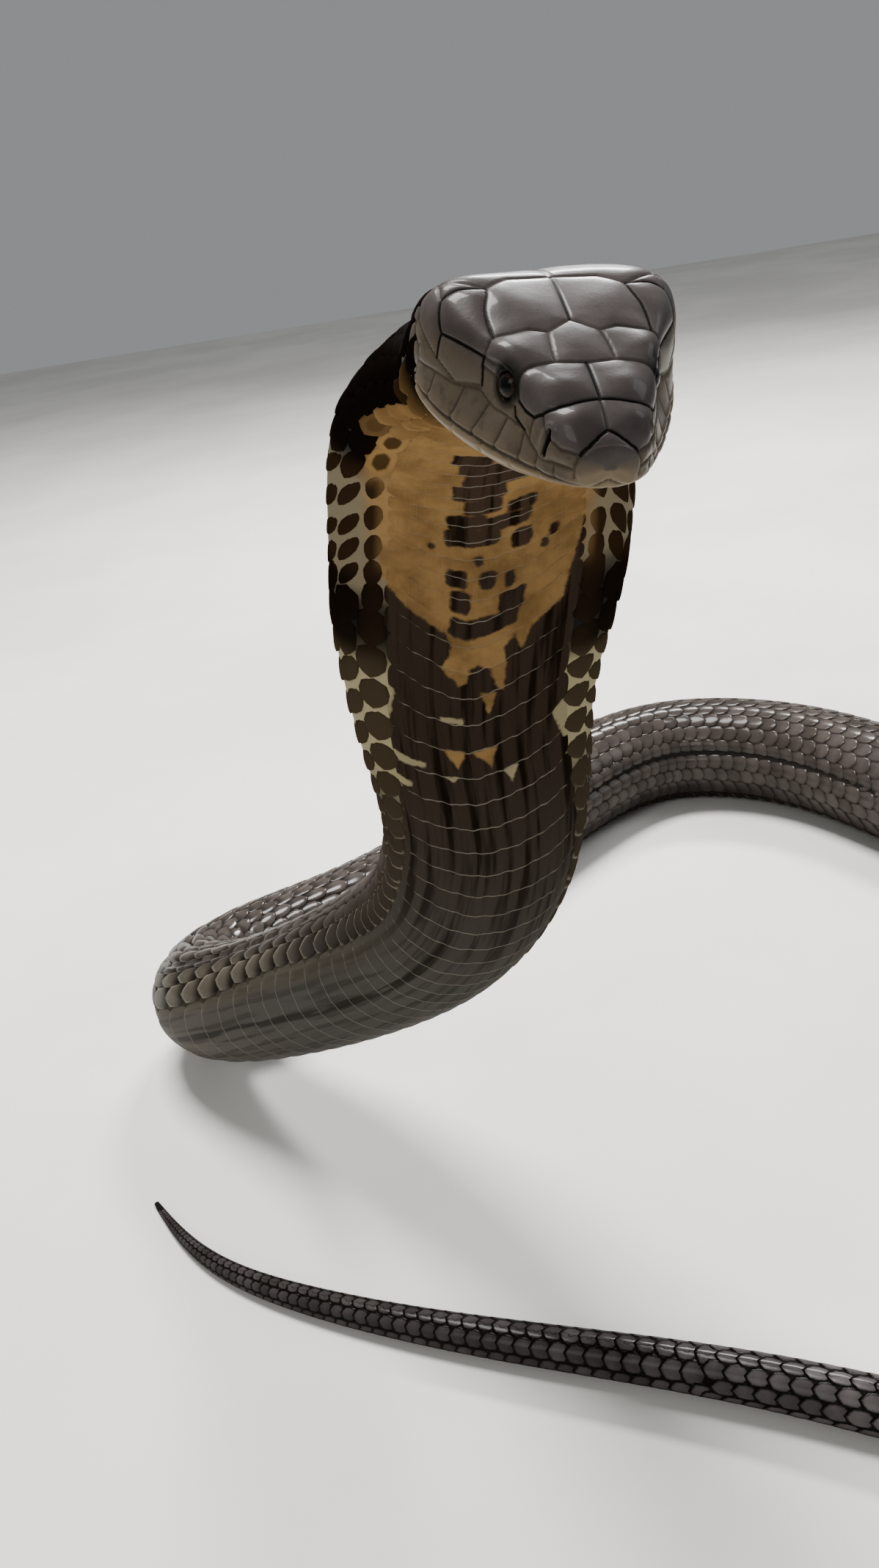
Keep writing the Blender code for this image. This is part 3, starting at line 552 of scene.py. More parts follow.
def head_relief(back, knot, base):
    """Return how far each point of the head is raised, and its distances from the lines on the head."""
    gaps = {"dark": nearest(DARK_SEAMS, base), "mouth": nearest((MOUTH,), base), "nostril": nearest((NOSTRIL,), base)}
    seam = np.minimum(gaps["dark"], nearest(SEAMS, base))
    small = back > shield_limit(knot)
    grid_back, grid_arc = back / HEAD_SCALE_LENGTH, knot * HALF_SECTION / HEAD_SCALE_WIDTH
    near = np.sort(np.stack([
        np.hypot((grid_back - np.round(grid_back - shift / 2) - shift / 2 - i) * HEAD_SCALE_LENGTH,
                 (grid_arc - 2 * np.round((grid_arc - shift) / 2) - shift - 2 * j) * HEAD_SCALE_WIDTH)
        for shift in (0, 1) for i in (-1, 0, 1) for j in (-1, 0, 1)]), axis=0)
    seam = gaps["seam"] = np.where(small, np.minimum(seam, (near[1] - near[0]) / 2), seam)
    crown = step_up(knot, 0.42, 0.30)
    rise = (PLATE_RISE + CROWN_RISE * crown) * (1 - np.exp(-(seam / (0.75 + 0.45 * crown)) ** 1.6))
    rise = np.where(small, 0.30 * (1 - np.exp(-seam / 0.7)), rise * step_up(back, 0.0, 2.5))
    for row, place, reach, spread, height in SWELLS:
        swell = np.exp(-((back - row) / reach) ** 2 - ((knot - place) / spread) ** 2)
        rise += height * swell * (1 - 0.6 * bell(seam, 0.9))
    lift = softened(rise, 7) - GROOVE * bell(seam, 0.30) * step_up(back, 0.4, 2.0)
    for name, away, reach, height in RELIEF:
        lift += height * bell(gaps[name] - away, reach)
    eye_gap = np.full(len(base), 99.0)
    for turn in (1, -1):
        reach, axis = base - eye_centre(turn), eye_axis(turn)
        ahead = (reach * axis).sum(1)
        around = np.linalg.norm(reach - ahead[:, None] * axis, axis=1) * 1000.0
        eye_gap = np.where(ahead > 0, np.minimum(eye_gap, around), eye_gap)
    lift -= EYE_SOCKET * step_up(eye_gap, EYE_OPENING + 0.12, EYE_OPENING - 0.45)
    lift += EYE_RIM * bell(eye_gap - EYE_OPENING - 0.60, 0.36)
    mouth_back, mouth_knot = np.transpose(MOUTH[::-1])
    gaps.update(eye_gap=eye_gap, lip=knot - np.interp(back, mouth_back, mouth_knot), back=back, knot=knot)
    return lift * step_up(back, HEAD_LENGTH - 0.5, HEAD_LENGTH - 5), gaps


# What the head's fields hold away from the head
BEYOND = {"seam": 2.0, "dark": 9.0, "mouth": 9.0, "nostril": 9.0, "eye_gap": 9.0, "lip": 0.0, "knot": 0.0,
          "back": HEAD_LENGTH}
# How the two parts of the skin are laid out to bake: the head as a disc, the body in rows below it
BAKE_MIDDLE = (0.25, 0.75)
BAKE_REACH = (0.02, 0.21)
BAKE_ROWS = 6
BAKE_DEPTH = 0.48
SNOUT_GAP = 0.04
SNOUT_EASE = 1.15
NECK_GAP = 0.0015
TIP_GAP = 0.0012


def ring_faces(index):
    """List the faces between closed rings of points."""
    after = np.roll(index, -1, axis=1)
    return np.stack((index[:-1], after[:-1], after[1:], index[1:]), -1).reshape(-1, 4).tolist(), after


def make_skin():
    """Model the whole skin: the rings of the head, closed at the snout, and then those of the body."""
    rows, head_count = ALONG_HEAD * AROUND_HEAD, ALONG_HEAD * AROUND_HEAD + 1
    turn = np.arange(AROUND_HEAD) / AROUND_HEAD * 2
    back = SNOUT_GAP + (HEAD_LENGTH - SNOUT_GAP) * np.linspace(0, 1, ALONG_HEAD) ** SNOUT_EASE
    back, knot = (part.ravel() for part in np.meshgrid(back, np.where(turn <= 1, turn, 2 - turn), indexing="ij"))
    side = np.tile(np.where(turn <= 1, 1, -1), ALONG_HEAD)
    base = head_surface(back, knot, side)
    lift, gaps = head_relief(back, knot, base)
    points = base + head_normal(back, knot, side) * lift[:, None] / 1000.0
    index = np.arange(rows).reshape(ALONG_HEAD, AROUND_HEAD)
    faces, after = ring_faces(index)
    faces += [[rows, after[0, i], index[0, i]] for i in range(AROUND_HEAD)]

    count = int((line.end - line.neck) / BODY_STEP)
    distance = np.linspace(line.neck + NECK_GAP, line.end - TIP_GAP, count)
    spin = np.arange(AROUND_BODY) / AROUND_BODY * 2
    angles = math.pi * (1 - np.where(spin <= 1, spin, 2 - spin))
    girth = line.at(distance)[4]
    share = np.stack([np.interp(angles, round_angle(SHARES, np.full(len(SHARES), aspect)), SHARES)
                      for aspect in girth[:, 1] / girth[:, 0]])
    share = share * np.where(spin <= 1, -1.0, 1.0)
    around = hide(distance[:, None], share).reshape(-1, 3)
    points = np.vstack((points, head_surface(0.0, 0.0, 1).reshape(1, 3), around, line.at(line.end)[0].reshape(1, 3)))
    body = head_count + np.arange(count * AROUND_BODY).reshape(count, AROUND_BODY)
    body_faces, body_after = ring_faces(body)
    faces += body_faces
    ratio = AROUND_HEAD // AROUND_BODY
    for j in range(AROUND_BODY):
        for here in range(j * ratio, (j + 1) * ratio):
            faces.append([index[-1, here], after[-1, here], body[0, j]])
        faces.append([after[-1, here], body_after[0, j], body[0, j]])
    total = len(points)
    faces += [[body[-1, i], body_after[-1, i], total - 1] for i in range(AROUND_BODY)]

    fields = {name: np.full(total, value) for name, value in BEYOND.items()}
    for name, values in gaps.items():
        fields[name][:rows] = values
    fields["back"][rows] = 0.0
    fields["on_head"] = (np.arange(total) < head_count).astype(float)
    head_along = line.neck - (HEAD_LENGTH - np.append(back, 0.0)) / 1000.0
    along = np.concatenate((head_along, np.repeat(distance, AROUND_BODY), [line.end]))
    spread = np.concatenate(((1 - knot) * np.where(side > 0, -1.0, 1.0), [0.0], share.ravel(), [0.0]))
    fields.update(along=along, ochre=markings(np.maximum(along, 0.0), spread)[0],
                  pale=pale_skin(along, spread), fold=fold(along, spread)[1])
    bake = np.zeros((total, 2))
    ring = 2 * math.pi * (np.arange(AROUND_HEAD) + 0.5) / AROUND_HEAD
    reach = BAKE_REACH[0] + BAKE_REACH[1] * np.sqrt(np.linspace(0.001, 1, ALONG_HEAD))[:, None]
    bake[:rows] = np.stack((reach * np.sin(ring), reach * np.cos(ring)), -1).reshape(-1, 2) + BAKE_MIDDLE
    bake[rows] = BAKE_MIDDLE
    place = (distance - distance[0]) / (distance[-1] - distance[0]) * BAKE_ROWS * 0.9999
    bake[head_count:-1, 0] = np.repeat(place % 1.0, AROUND_BODY)
    bake[head_count:-1, 1] = ((np.floor(place)[:, None] + 0.02 + 0.96 * spin / 2) / BAKE_ROWS * BAKE_DEPTH).ravel()
    bake[-1] = bake[-2]
    return lay_mesh("skin", points, faces, fields, bake)


def sign(operation, swapped=False):
    """Make one of Python's signs add its Math node, with the term second where it is swapped."""
    def work(term, *others):
        terms = (*others, term) if swapped else (term, *others)
        return term.finish.node("ShaderNodeMath", {"operation": operation}, dict(enumerate(terms)))
    return work


class Term:
    """A number on its way through a finish, which Python's own signs can work on."""

    def __init__(self, finish, socket):
        """Hold one socket of a finish."""
        self.finish, self.socket = finish, socket

    __add__, __radd__ = sign("ADD"), sign("ADD", True)
    __sub__, __rsub__ = sign("SUBTRACT"), sign("SUBTRACT", True)
    __mul__, __rmul__ = sign("MULTIPLY"), sign("MULTIPLY", True)
    __abs__ = sign("ABSOLUTE")


class Finish:
    """One material, built from expressions."""

    def __init__(self, name, **plain):
        """Start from a plain surface with the values that are the same all over."""
        self.material = bpy.data.materials.new(name)
        self.material.use_nodes = True
        self.tree = self.material.node_tree
        self.shader = self.tree.nodes["Principled BSDF"]
        for socket, value in plain.items():
            self.shader.inputs[socket.replace("_", " ")].default_value = value

    def node(self, kind, settings, values, out=0):
        """Add a node with its settings and the values or links of its sockets, and return one output."""
        made = self.tree.nodes.new(kind)
        for setting, value in settings.items():
            setattr(made, setting, value)
        for socket, value in values.items():
            if isinstance(value, Term):
                self.tree.links.new(value.socket, made.inputs[socket])
            else:
                made.inputs[socket].default_value = value
        return Term(self, made.outputs[out])

    def field(self, name):
        """Read a field of the mesh."""
        return self.node("ShaderNodeAttribute", {"attribute_name": name}, {}, "Fac")

    def rise(self, value, low, high, *more):
        """Rise smoothly from 0 at low to 1 at high, or fall where low is the larger, and again for more ends."""
        values = {"Value": value, "From Min": min(low, high), "From Max": max(low, high)}
        share = self.node("ShaderNodeMapRange", {"interpolation_type": "SMOOTHSTEP"}, values)
        share = 1.0 - share if low > high else share
        return share * self.rise(value, *more) if more else share

    def spot(self, x, y):
        """Put two numbers together as a place."""
        return self.node("ShaderNodeCombineXYZ", {}, {0: x, 1: y})

    def place(self):
        """Read the place on the object."""
        return self.node("ShaderNodeTexCoord", {}, {}, "Object")

    def noise(self, place, scale, detail=3.0, roughness=0.55):
        """Read a soft random pattern, about 0.5."""
        values = {"Vector": place, "Scale": scale, "Detail": detail, "Roughness": roughness}
        return self.node("ShaderNodeTexNoise", {}, values)

    def mix(self, base, *coats):
        """Lay colours over a base in turn, each given as its mask and then the colour, as numbers or a link."""
        for mask, colour in coats:
            first, second = (part if isinstance(part, Term) else (*part, 1.0) for part in (base, colour))
            base = self.node("ShaderNodeMix", {"data_type": "RGBA"}, {0: mask, 6: first, 7: second}, 2)
        return base

    def bump(self, height, distance):
        """Raise the surface by a height, at half strength."""
        values = {"Strength": 0.5, "Distance": distance, "Height": height}
        return self.node("ShaderNodeBump", {}, values)

    def wear(self, **links):
        """Feed what changes over the surface."""
        for socket, value in links.items():
            self.tree.links.new(value.socket, self.shader.inputs[socket.replace("_", " ")])
        return self.material


SHIELD_GREY = (0.066, 0.056, 0.054)
SHIELD_OLIVE = (0.082, 0.065, 0.045)
SHIELD_DARK = (0.043, 0.035, 0.033)
SHIELD_MOTTLE = (0.043, 0.034, 0.022)
# near black, for the dark seams and the mouth line, and as painted shade in the eye sockets, nostrils and skin folds
SEAM_AND_SHADE_BLACK = (0.004, 0.003, 0.002)
SEAM_BROWN = (0.014, 0.010, 0.007)
LIP_PALE = (0.20, 0.155, 0.095)
OCHRE = (0.212, 0.127, 0.049)
OCHRE_DEEP = (0.124, 0.072, 0.027)
CREAM = (0.255, 0.222, 0.128)
CREAM_DULL = (0.136, 0.112, 0.070)
SKIN_DARK = (0.004, 0.003, 0.002)
SKIN_BODY = (0.024, 0.020, 0.018)


def skin_finish():
    """Paint the head's shields and the bare skin between the scales, with painted shade in the eye sockets, nostrils
    and skin folds.
    """
    finish = Finish("hide", Coat_Roughness=0.09, Specular_IOR_Level=0.04)
    rise, mix, noise, field, place = finish.rise, finish.mix, finish.noise, finish.field, finish.place()
    seam, knot, back, on_head, along = (field(name) for name in ("seam", "knot", "back", "on_head", "along"))
    broad, fine = noise(place, 90.0, 4.0), noise(place, 520.0)
    wobble = (fine - 0.5) * 0.22
    lip = field("lip") + (fine - 0.5) * 0.02
    cheek, chin = rise(knot, 0.36, 0.52), rise(lip, 0.004, 0.030)
    mottle = rise(noise(place, 240.0, 5.0, 0.65), 0.50, 0.68) * cheek
    upper = rise(lip, -0.075, -0.005) * rise(back, 3.0, 10.0)
    snout = rise(back, 3.6, 0.6) * rise(knot, 0.50, 0.74)
    valley = rise(seam + wobble, 0.44, 0.10) * 0.45
    dark = rise(field("dark") + wobble, 0.46, 0.20)
    # painted shade: the skin round each eye is laid near black, for the shade of the socket under the brow
    socket = rise(field("eye_gap"), 4.9, 3.0)
    shields = mix(
        SHIELD_DARK, (rise(broad, 0.35, 0.68), SHIELD_GREY), (cheek * 0.85, SHIELD_OLIVE),
        (mottle * 0.6, SHIELD_MOTTLE), (upper * 0.18, LIP_PALE), (chin * 0.58, LIP_PALE), (snout * 0.55, LIP_PALE),
        (rise(field("mouth"), 0.42, 0.12) * 0.55, SEAM_AND_SHADE_BLACK), (valley * (1.0 - chin * 0.8), SEAM_BROWN),
        # painted shade: the nostril holes are laid near black, for the shade inside them
        (dark, SEAM_AND_SHADE_BLACK), (rise(field("nostril"), 0.80, 0.45), SEAM_AND_SHADE_BLACK), (socket * 0.95, SEAM_AND_SHADE_BLACK))
    cream = mix(CREAM_DULL, (rise(along, 0.125, 0.150), CREAM))
    ochre = mix(OCHRE_DEEP, (rise(broad, 0.3, 0.7), OCHRE))
    edge = field("ochre") + (noise(place, 330.0) - 0.5) * 1.6
    sharp = rise(edge, -0.5, 0.5)
    soft = rise(edge, -6.0, 1.5) - sharp
    # painted shade: the skin deep in the flank folds is laid near black, for the shade in the crease
    between = mix(SKIN_DARK, (rise(along, 0.64, 0.80, 2.50, 2.30), SKIN_BODY), (field("pale"), cream),
                  (field("fold"), SEAM_AND_SHADE_BLACK), (sharp + soft * rise(along, 0.118, 0.106), ochre))
    throat = rise(knot, 0.80, 0.86) * rise(back, 18.0, 34.0)
    colour = mix(between, (on_head, mix(shields, (throat, ochre))))
    rough = 0.66 - on_head * 0.26 + (fine - 0.5) * 0.16 + dark * 0.25
    height = fine * 0.4 + noise(place, 1500.0, 2.0) * 0.25
    coat = (1.0 - rise(seam, 0.75, 0.25) * 0.85) * 0.10 * on_head * (1.0 - throat * 0.8) * (1.0 - socket)
    return finish.wear(Base_Color=colour, Roughness=rough, Coat_Weight=coat, Normal=finish.bump(height, 0.0002))


skin = make_skin()
skin.data.materials.append(skin_finish())
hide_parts("head", "hood", "neck", "fore_body", "body_bend", "body_behind", "body_crest", "body_dip",
            "body_swell", "body_side", "body_return", "tail_base", "tail_middle", "tail_tip")
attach(skin, "root")


# The eyes.
# Each is a clear, lidless ball under its own smooth scale, near black, with a round pupil in a dark bronze ring.
# It sits in the socket that is pressed into the skin.
EYE_RADIUS = 0.003
PUPIL_ANGLE = 0.48
IRIS_ANGLE = 0.86
PUPIL_BLACK = (0.002, 0.002, 0.002)
IRIS_DEEP = (0.006, 0.003, 0.002)
IRIS_BRONZE = (0.026, 0.014, 0.006)
EYE_BORDER = (0.006, 0.004, 0.003)


def make_eye(name, node, side):
    """Turn a ball whose pole is the middle of the pupil, and set it in its socket."""
    bpy.ops.mesh.primitive_uv_sphere_add(segments=48, ring_count=32, radius=EYE_RADIUS)
    ball = bpy.context.active_object
    ball.name = ball.data.name = name
    bpy.ops.object.shade_smooth()
    bpy.ops.object.select_all(action="DESELECT")
    turn = Vector(LEVEL).rotation_difference(Vector(eye_axis(side))).to_matrix().to_4x4()
    heights = np.array([corner.co.z for corner in ball.data.vertices]) / EYE_RADIUS
    polar = ball.data.attributes.new("polar", "FLOAT", "POINT")
    polar.data.foreach_set("value", np.arccos(np.clip(heights, -1, 1)).astype(np.float32))
    ball.data.transform(Matrix.Translation(Vector(eye_centre(side))) @ turn)
    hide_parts(node)
    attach(ball, "root")
    return ball


def eye_finish():
    """Paint the pupil, the bronze ring and the dark rim."""
    finish = Finish("eye_gloss", Roughness=0.25, Coat_Weight=0.09, Coat_Roughness=0.03, Specular_IOR_Level=0.05)
    rise, mix, polar = finish.rise, finish.mix, finish.field("polar")
    rays = finish.noise(finish.place(), 2600.0, 4.0)
    iris = mix(IRIS_DEEP, (rise(rays, 0.35, 0.7), IRIS_BRONZE))
    return finish.wear(Base_Color=mix(PUPIL_BLACK, (rise(polar, PUPIL_ANGLE, PUPIL_ANGLE + 0.05), iris),
                                      (rise(polar, IRIS_ANGLE - 0.15, IRIS_ANGLE), EYE_BORDER)))


eye_material = eye_finish()
for eye_name, eye_node, eye_side in (("eye_ball_right", "eye_right", 1), ("eye_ball_left", "eye_left", -1)):
    make_eye(eye_name, eye_node, eye_side).data.materials.append(eye_material)


# The belly scutes.
# One broad smooth plate after another crosses the belly, each lying over the front of the next, with a thin pale
# rear edge. Ochre with brown blotches on the throat, dark grey brown from there on.
SCUTE_START = 0.0215
SCUTE_LIFT = 0.00075
SCUTE_OVERLAP = 0.0013
SCUTE_TURN = 0.0001
FULL_GIRTH = 0.030


def scute_edges():
    """List the rear edges of all scutes, from the throat to the tip of the tail."""
    edges = [SCUTE_START]
    while edges[-1] < line.end - 0.006:
        here = edges[-1]
        grow = 0.0062 + 0.0043 * step_up(here, 0.04, 0.19) + 0.0010 * step_up(here, 0.25, 0.50)
        stretch = 0.0042 * step_up(here, 0.29, 0.40, 0.64, 0.53)
        slim = (line.at(here)[4].mean() / 0.0150) ** 0.8 if here > 0.6 else 1.0
        edges.append(here + (grow + stretch) * min(1.0, slim))
    return np.array(edges)


EDGES = scute_edges()


def make_scutes(name, first, last, along, across, seed):
    """Model the scutes whose rear edges lie between two distances, each a thin plate with its edge turned down."""
    draw = np.random.default_rng(seed)
    steps = np.concatenate((np.linspace(0, 1, along)[:-1] * 0.93, [0.965, 0.992, 1.0, 1.0]))
    x, u = np.meshgrid(np.linspace(-1, 1, across), steps)
    plates = []
    for front, rear in zip(EDGES, EDGES[1:]):
        if not first <= rear < last:
            continue
        start = front - SCUTE_OVERLAP
        scale = min(1.0, line.at(rear)[4].mean() / FULL_GIRTH)
        wave = draw.uniform(-1, 1, 3)
        ripple = 0.00028 * scale * (np.sin(x * 19 + wave[0] * 3) + 0.6 * np.sin(x * 41 + wave[1] * 3))
        covered = belly_share(rear)
        tail = ripple - vee(rear, x * covered) * scale
        where = start + (rear - start) * u - vee(start, x * covered) * scale * (1 - u) + tail * u
        where[-1] += SCUTE_TURN
        lift = (0.00005 + SCUTE_LIFT * scale * u ** 1.3) * (1 - 0.75 * step_up(np.abs(x), 0.80, 1.0))
        lift[-1] = -SCUTE_TURN
        share = x * covered * (1 + 0.02 * wave[2]) * (1 - 0.13 * np.abs(1.75 * u - 0.80) ** 3.2)
        plates.append(np.dstack((
            hide(np.clip(where, 0.002, line.end), share, lift, floor=0.0003), (rear - start) * (1 - u) * 1000.0,
            where, share, np.full(x.shape, draw.uniform(-1, 1)),
            (rear - first) / (last - first) * 0.98 + 0.01 + (u - 0.5) * 0.003, 0.5 + 0.46 * x)))
    index = np.arange(len(plates) * x.size).reshape(-1, *x.shape)
    faces = np.stack((index[:, :-1, :-1], index[:, 1:, :-1], index[:, 1:, 1:], index[:, :-1, 1:]), -1)
    table = np.reshape(plates, (-1, 9))
    fields = dict(zip(("rear", "along", "around", "tone"), table[:, 3:7].T))
    fields["ochre"], fields["cream"] = markings(fields["along"], fields["around"])
    return lay_mesh(name, table[:, :3], faces.reshape(-1, 4).tolist(), fields, table[:, 7:])


SCUTE_BROWN = (0.024, 0.017, 0.012)
SCUTE_GREY = (0.050, 0.046, 0.041)
SCUTE_ASH = (0.075, 0.067, 0.058)
# near black, for the dark streaks and stripe, and as painted shade on the scutes of the lying body
SCUTE_BLACK_AND_SHADE = (0.004, 0.002, 0.001)
SCUTE_FLECK = (0.038, 0.030, 0.022)
SCUTE_OLIVE = (0.036, 0.028, 0.014)
SCUTE_DUSK = (0.026, 0.019, 0.013)
SCUTE_EDGE = (0.170, 0.152, 0.122)
BLOTCH = (0.034, 0.022, 0.015)
OCHRE_LIGHT = (0.29, 0.185, 0.072)


def scute_finish():
    """Paint the scutes: ochre throat, dark belly with long streaks, thin pale rear edges, and painted shade where the
    body lies on the floor.
    """
    finish = Finish("belly_scutes", Coat_Roughness=0.20, Specular_IOR_Level=0.0)
    rise, mix, noise, field, place = finish.rise, finish.mix, finish.noise, finish.field, finish.place()
    along, around, ochre_reach = field("along"), field("around"), field("ochre")
    streak = noise(finish.spot(around * 29.0, along * 17.0), 1.0, 3.0, 0.5)
    fine = noise(finish.spot(around * 260.0, along * 60.0), 1.0)
    # painted shade: the scutes of the body lying on the floor are darkened towards black, for the shade under it
    lying = rise(along, 0.60, 0.72)
    strong = 0.9 - rise(along, 0.21, 0.31) * 0.46
    stripe = rise(abs(around + 0.105), 0.030, 0.008) * rise(along, 0.20, 0.28, 0.62, 0.50)
    side_edge = rise(abs(around), 0.20, 0.285) * rise(along, 0.24, 0.34)
    ochre = mix(OCHRE_DEEP, (rise(noise(place, 75.0, 4.0, 0.6), 0.32, 0.66), OCHRE),
                (rise(fine, 0.50, 0.72) * 0.12, OCHRE_LIGHT))
    wobble = (noise(place, 340.0) - 0.5) * 2.4
    line_gap = rise(field("rear") + (fine - 0.5) * 0.4, 0.55, 0.25)
    faint = 1.0 - rise(ochre_reach, -0.4, 0.4) * 0.55 - lying * 0.3
    colour = mix(
        SCUTE_BROWN, (rise(along, 0.17, 0.34), SCUTE_GREY), (rise(along, 0.118, 0.100), BLOTCH),
        (rise(along, 0.42, 0.56), SCUTE_ASH), (rise(streak, 0.46, 0.64) * strong, SCUTE_BLACK_AND_SHADE),
        (rise(fine, 0.55, 0.75) * 0.25, SCUTE_FLECK), (stripe * rise(streak, 0.36, 0.50) * 0.75, SCUTE_BLACK_AND_SHADE),
        (side_edge * 0.45, SCUTE_OLIVE), (lying * 0.85, SCUTE_BLACK_AND_SHADE), (rise(ochre_reach + wobble, -0.6, 0.6), ochre),
        (rise(field("cream") + wobble, -0.4, 0.5) * 0.85, CREAM), (line_gap * faint * 0.75, SCUTE_EDGE),
        (field("tone") * 0.08 + 0.06, SCUTE_DUSK))
    height = fine * 0.6 + noise(place, 900.0, 2.0) * 0.4
    return finish.wear(Base_Color=colour, Roughness=0.58 + (fine - 0.5) * 0.18,
                       Coat_Weight=rise(along, 0.16, 0.50) * 0.10, Normal=finish.bump(height, 0.0002))


scute_material = scute_finish()
# Name, slot, first and last distance along the body, points along and across a scute
SCUTE_PIECES = (
    ("scutes_hood", "hood", 0.0215, 0.215, 15, 77),
    ("scutes_neck", "body", 0.215, 0.62, 9, 49),
    ("scutes_body", "body", 0.62, 2.43, 6, 25),
    ("scutes_tail", "tail", 2.43, 3.3, 5, 15),
)
for seed, (name, slot, first, last, along, across) in enumerate(SCUTE_PIECES):
    piece = make_scutes(name, first, last, along, across, 40 + seed)
    piece.data.materials.append(scute_material)
    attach(piece, "root")


# The scales of the back and flanks.
# Smooth glossy plates in slanting rows, one to each scute in every row, tiled with their free ends to the tail.
# On the spread hood they stand apart as dark ovals on pale skin, and on the tail they are large and black edged.
SCALE_SIDES = 12
SCALE_MIDDLE = 0.62
# Rings of a scale, from its middle out: share of its reach, and of its height
SCALE_RINGS = ((0.42, 0.80, 1.0, 1.02), (0.56, 0.38, 0.08, -0.55))
SCALE_THICK = 0.00085
SCALE_LEAN = 0.00055
SCALE_SPREAD = (0.94, 1.06)
ROWS = ((0.0, 19), (0.26, 17), (0.66, 15), (2.20, 13), (2.40, 11), (2.50, 9), (2.62, 7), (2.95, 5))
FIRST_ROW = 1.40
HOOD_END = 0.150
SHIELD_GAP = 1.6


def scale_edges():
    """List where the rows of scales start: wide apart on the stretched hood, one to a scute behind it."""
    places = [0.0035]
    while places[-1] < HOOD_END:
        here = places[-1]
        grow = 0.0090 * step_up(here, 0.020, 0.072) - 0.0040 * step_up(here, 0.116, 0.142)
        places.append(here + 0.0055 + grow)
    return np.concatenate((places[:-1], EDGES[EDGES > places[-2] + 0.006]))


def scale_places(first, last):
    """List the scales between two distances: distance, share, row pitch, width, rows up from the belly."""
    found = []
    edges = scale_edges()
    for front, rear in zip(edges, edges[1:]):
        middle = (front + rear) / 2
        if not first <= middle < last:
            continue
        count = [count for start, count in ROWS if start <= middle][-1]
        row = np.arange(count)
        widths = np.ones(count)
        widths[[0, -1]] += (FIRST_ROW - 1) * step_up(middle, 0.130, 0.165, 2.4, 2.2)
        covered = belly_share(middle)
        widths *= 2 * (1 - covered) / widths.sum()
        share = covered + np.cumsum(widths) - widths / 2
        share = np.where(share <= 1, share, share - 2)
        left, right = vee(middle, np.array([covered, -covered]))
        reach = step_up(1 - np.abs(share), 0.0, 0.7)
        ahead = np.where(share < 0, right, left) * reach + (left + right) / 2 * (1 - reach)
        stagger = 0.5 * (np.abs(row - count // 2) % 2)
        pitch = np.full(count, rear - front)
        found.append((middle + pitch * stagger - ahead, share, pitch, widths, np.minimum(row, count - 1 - row)))
    return np.hstack(found).T


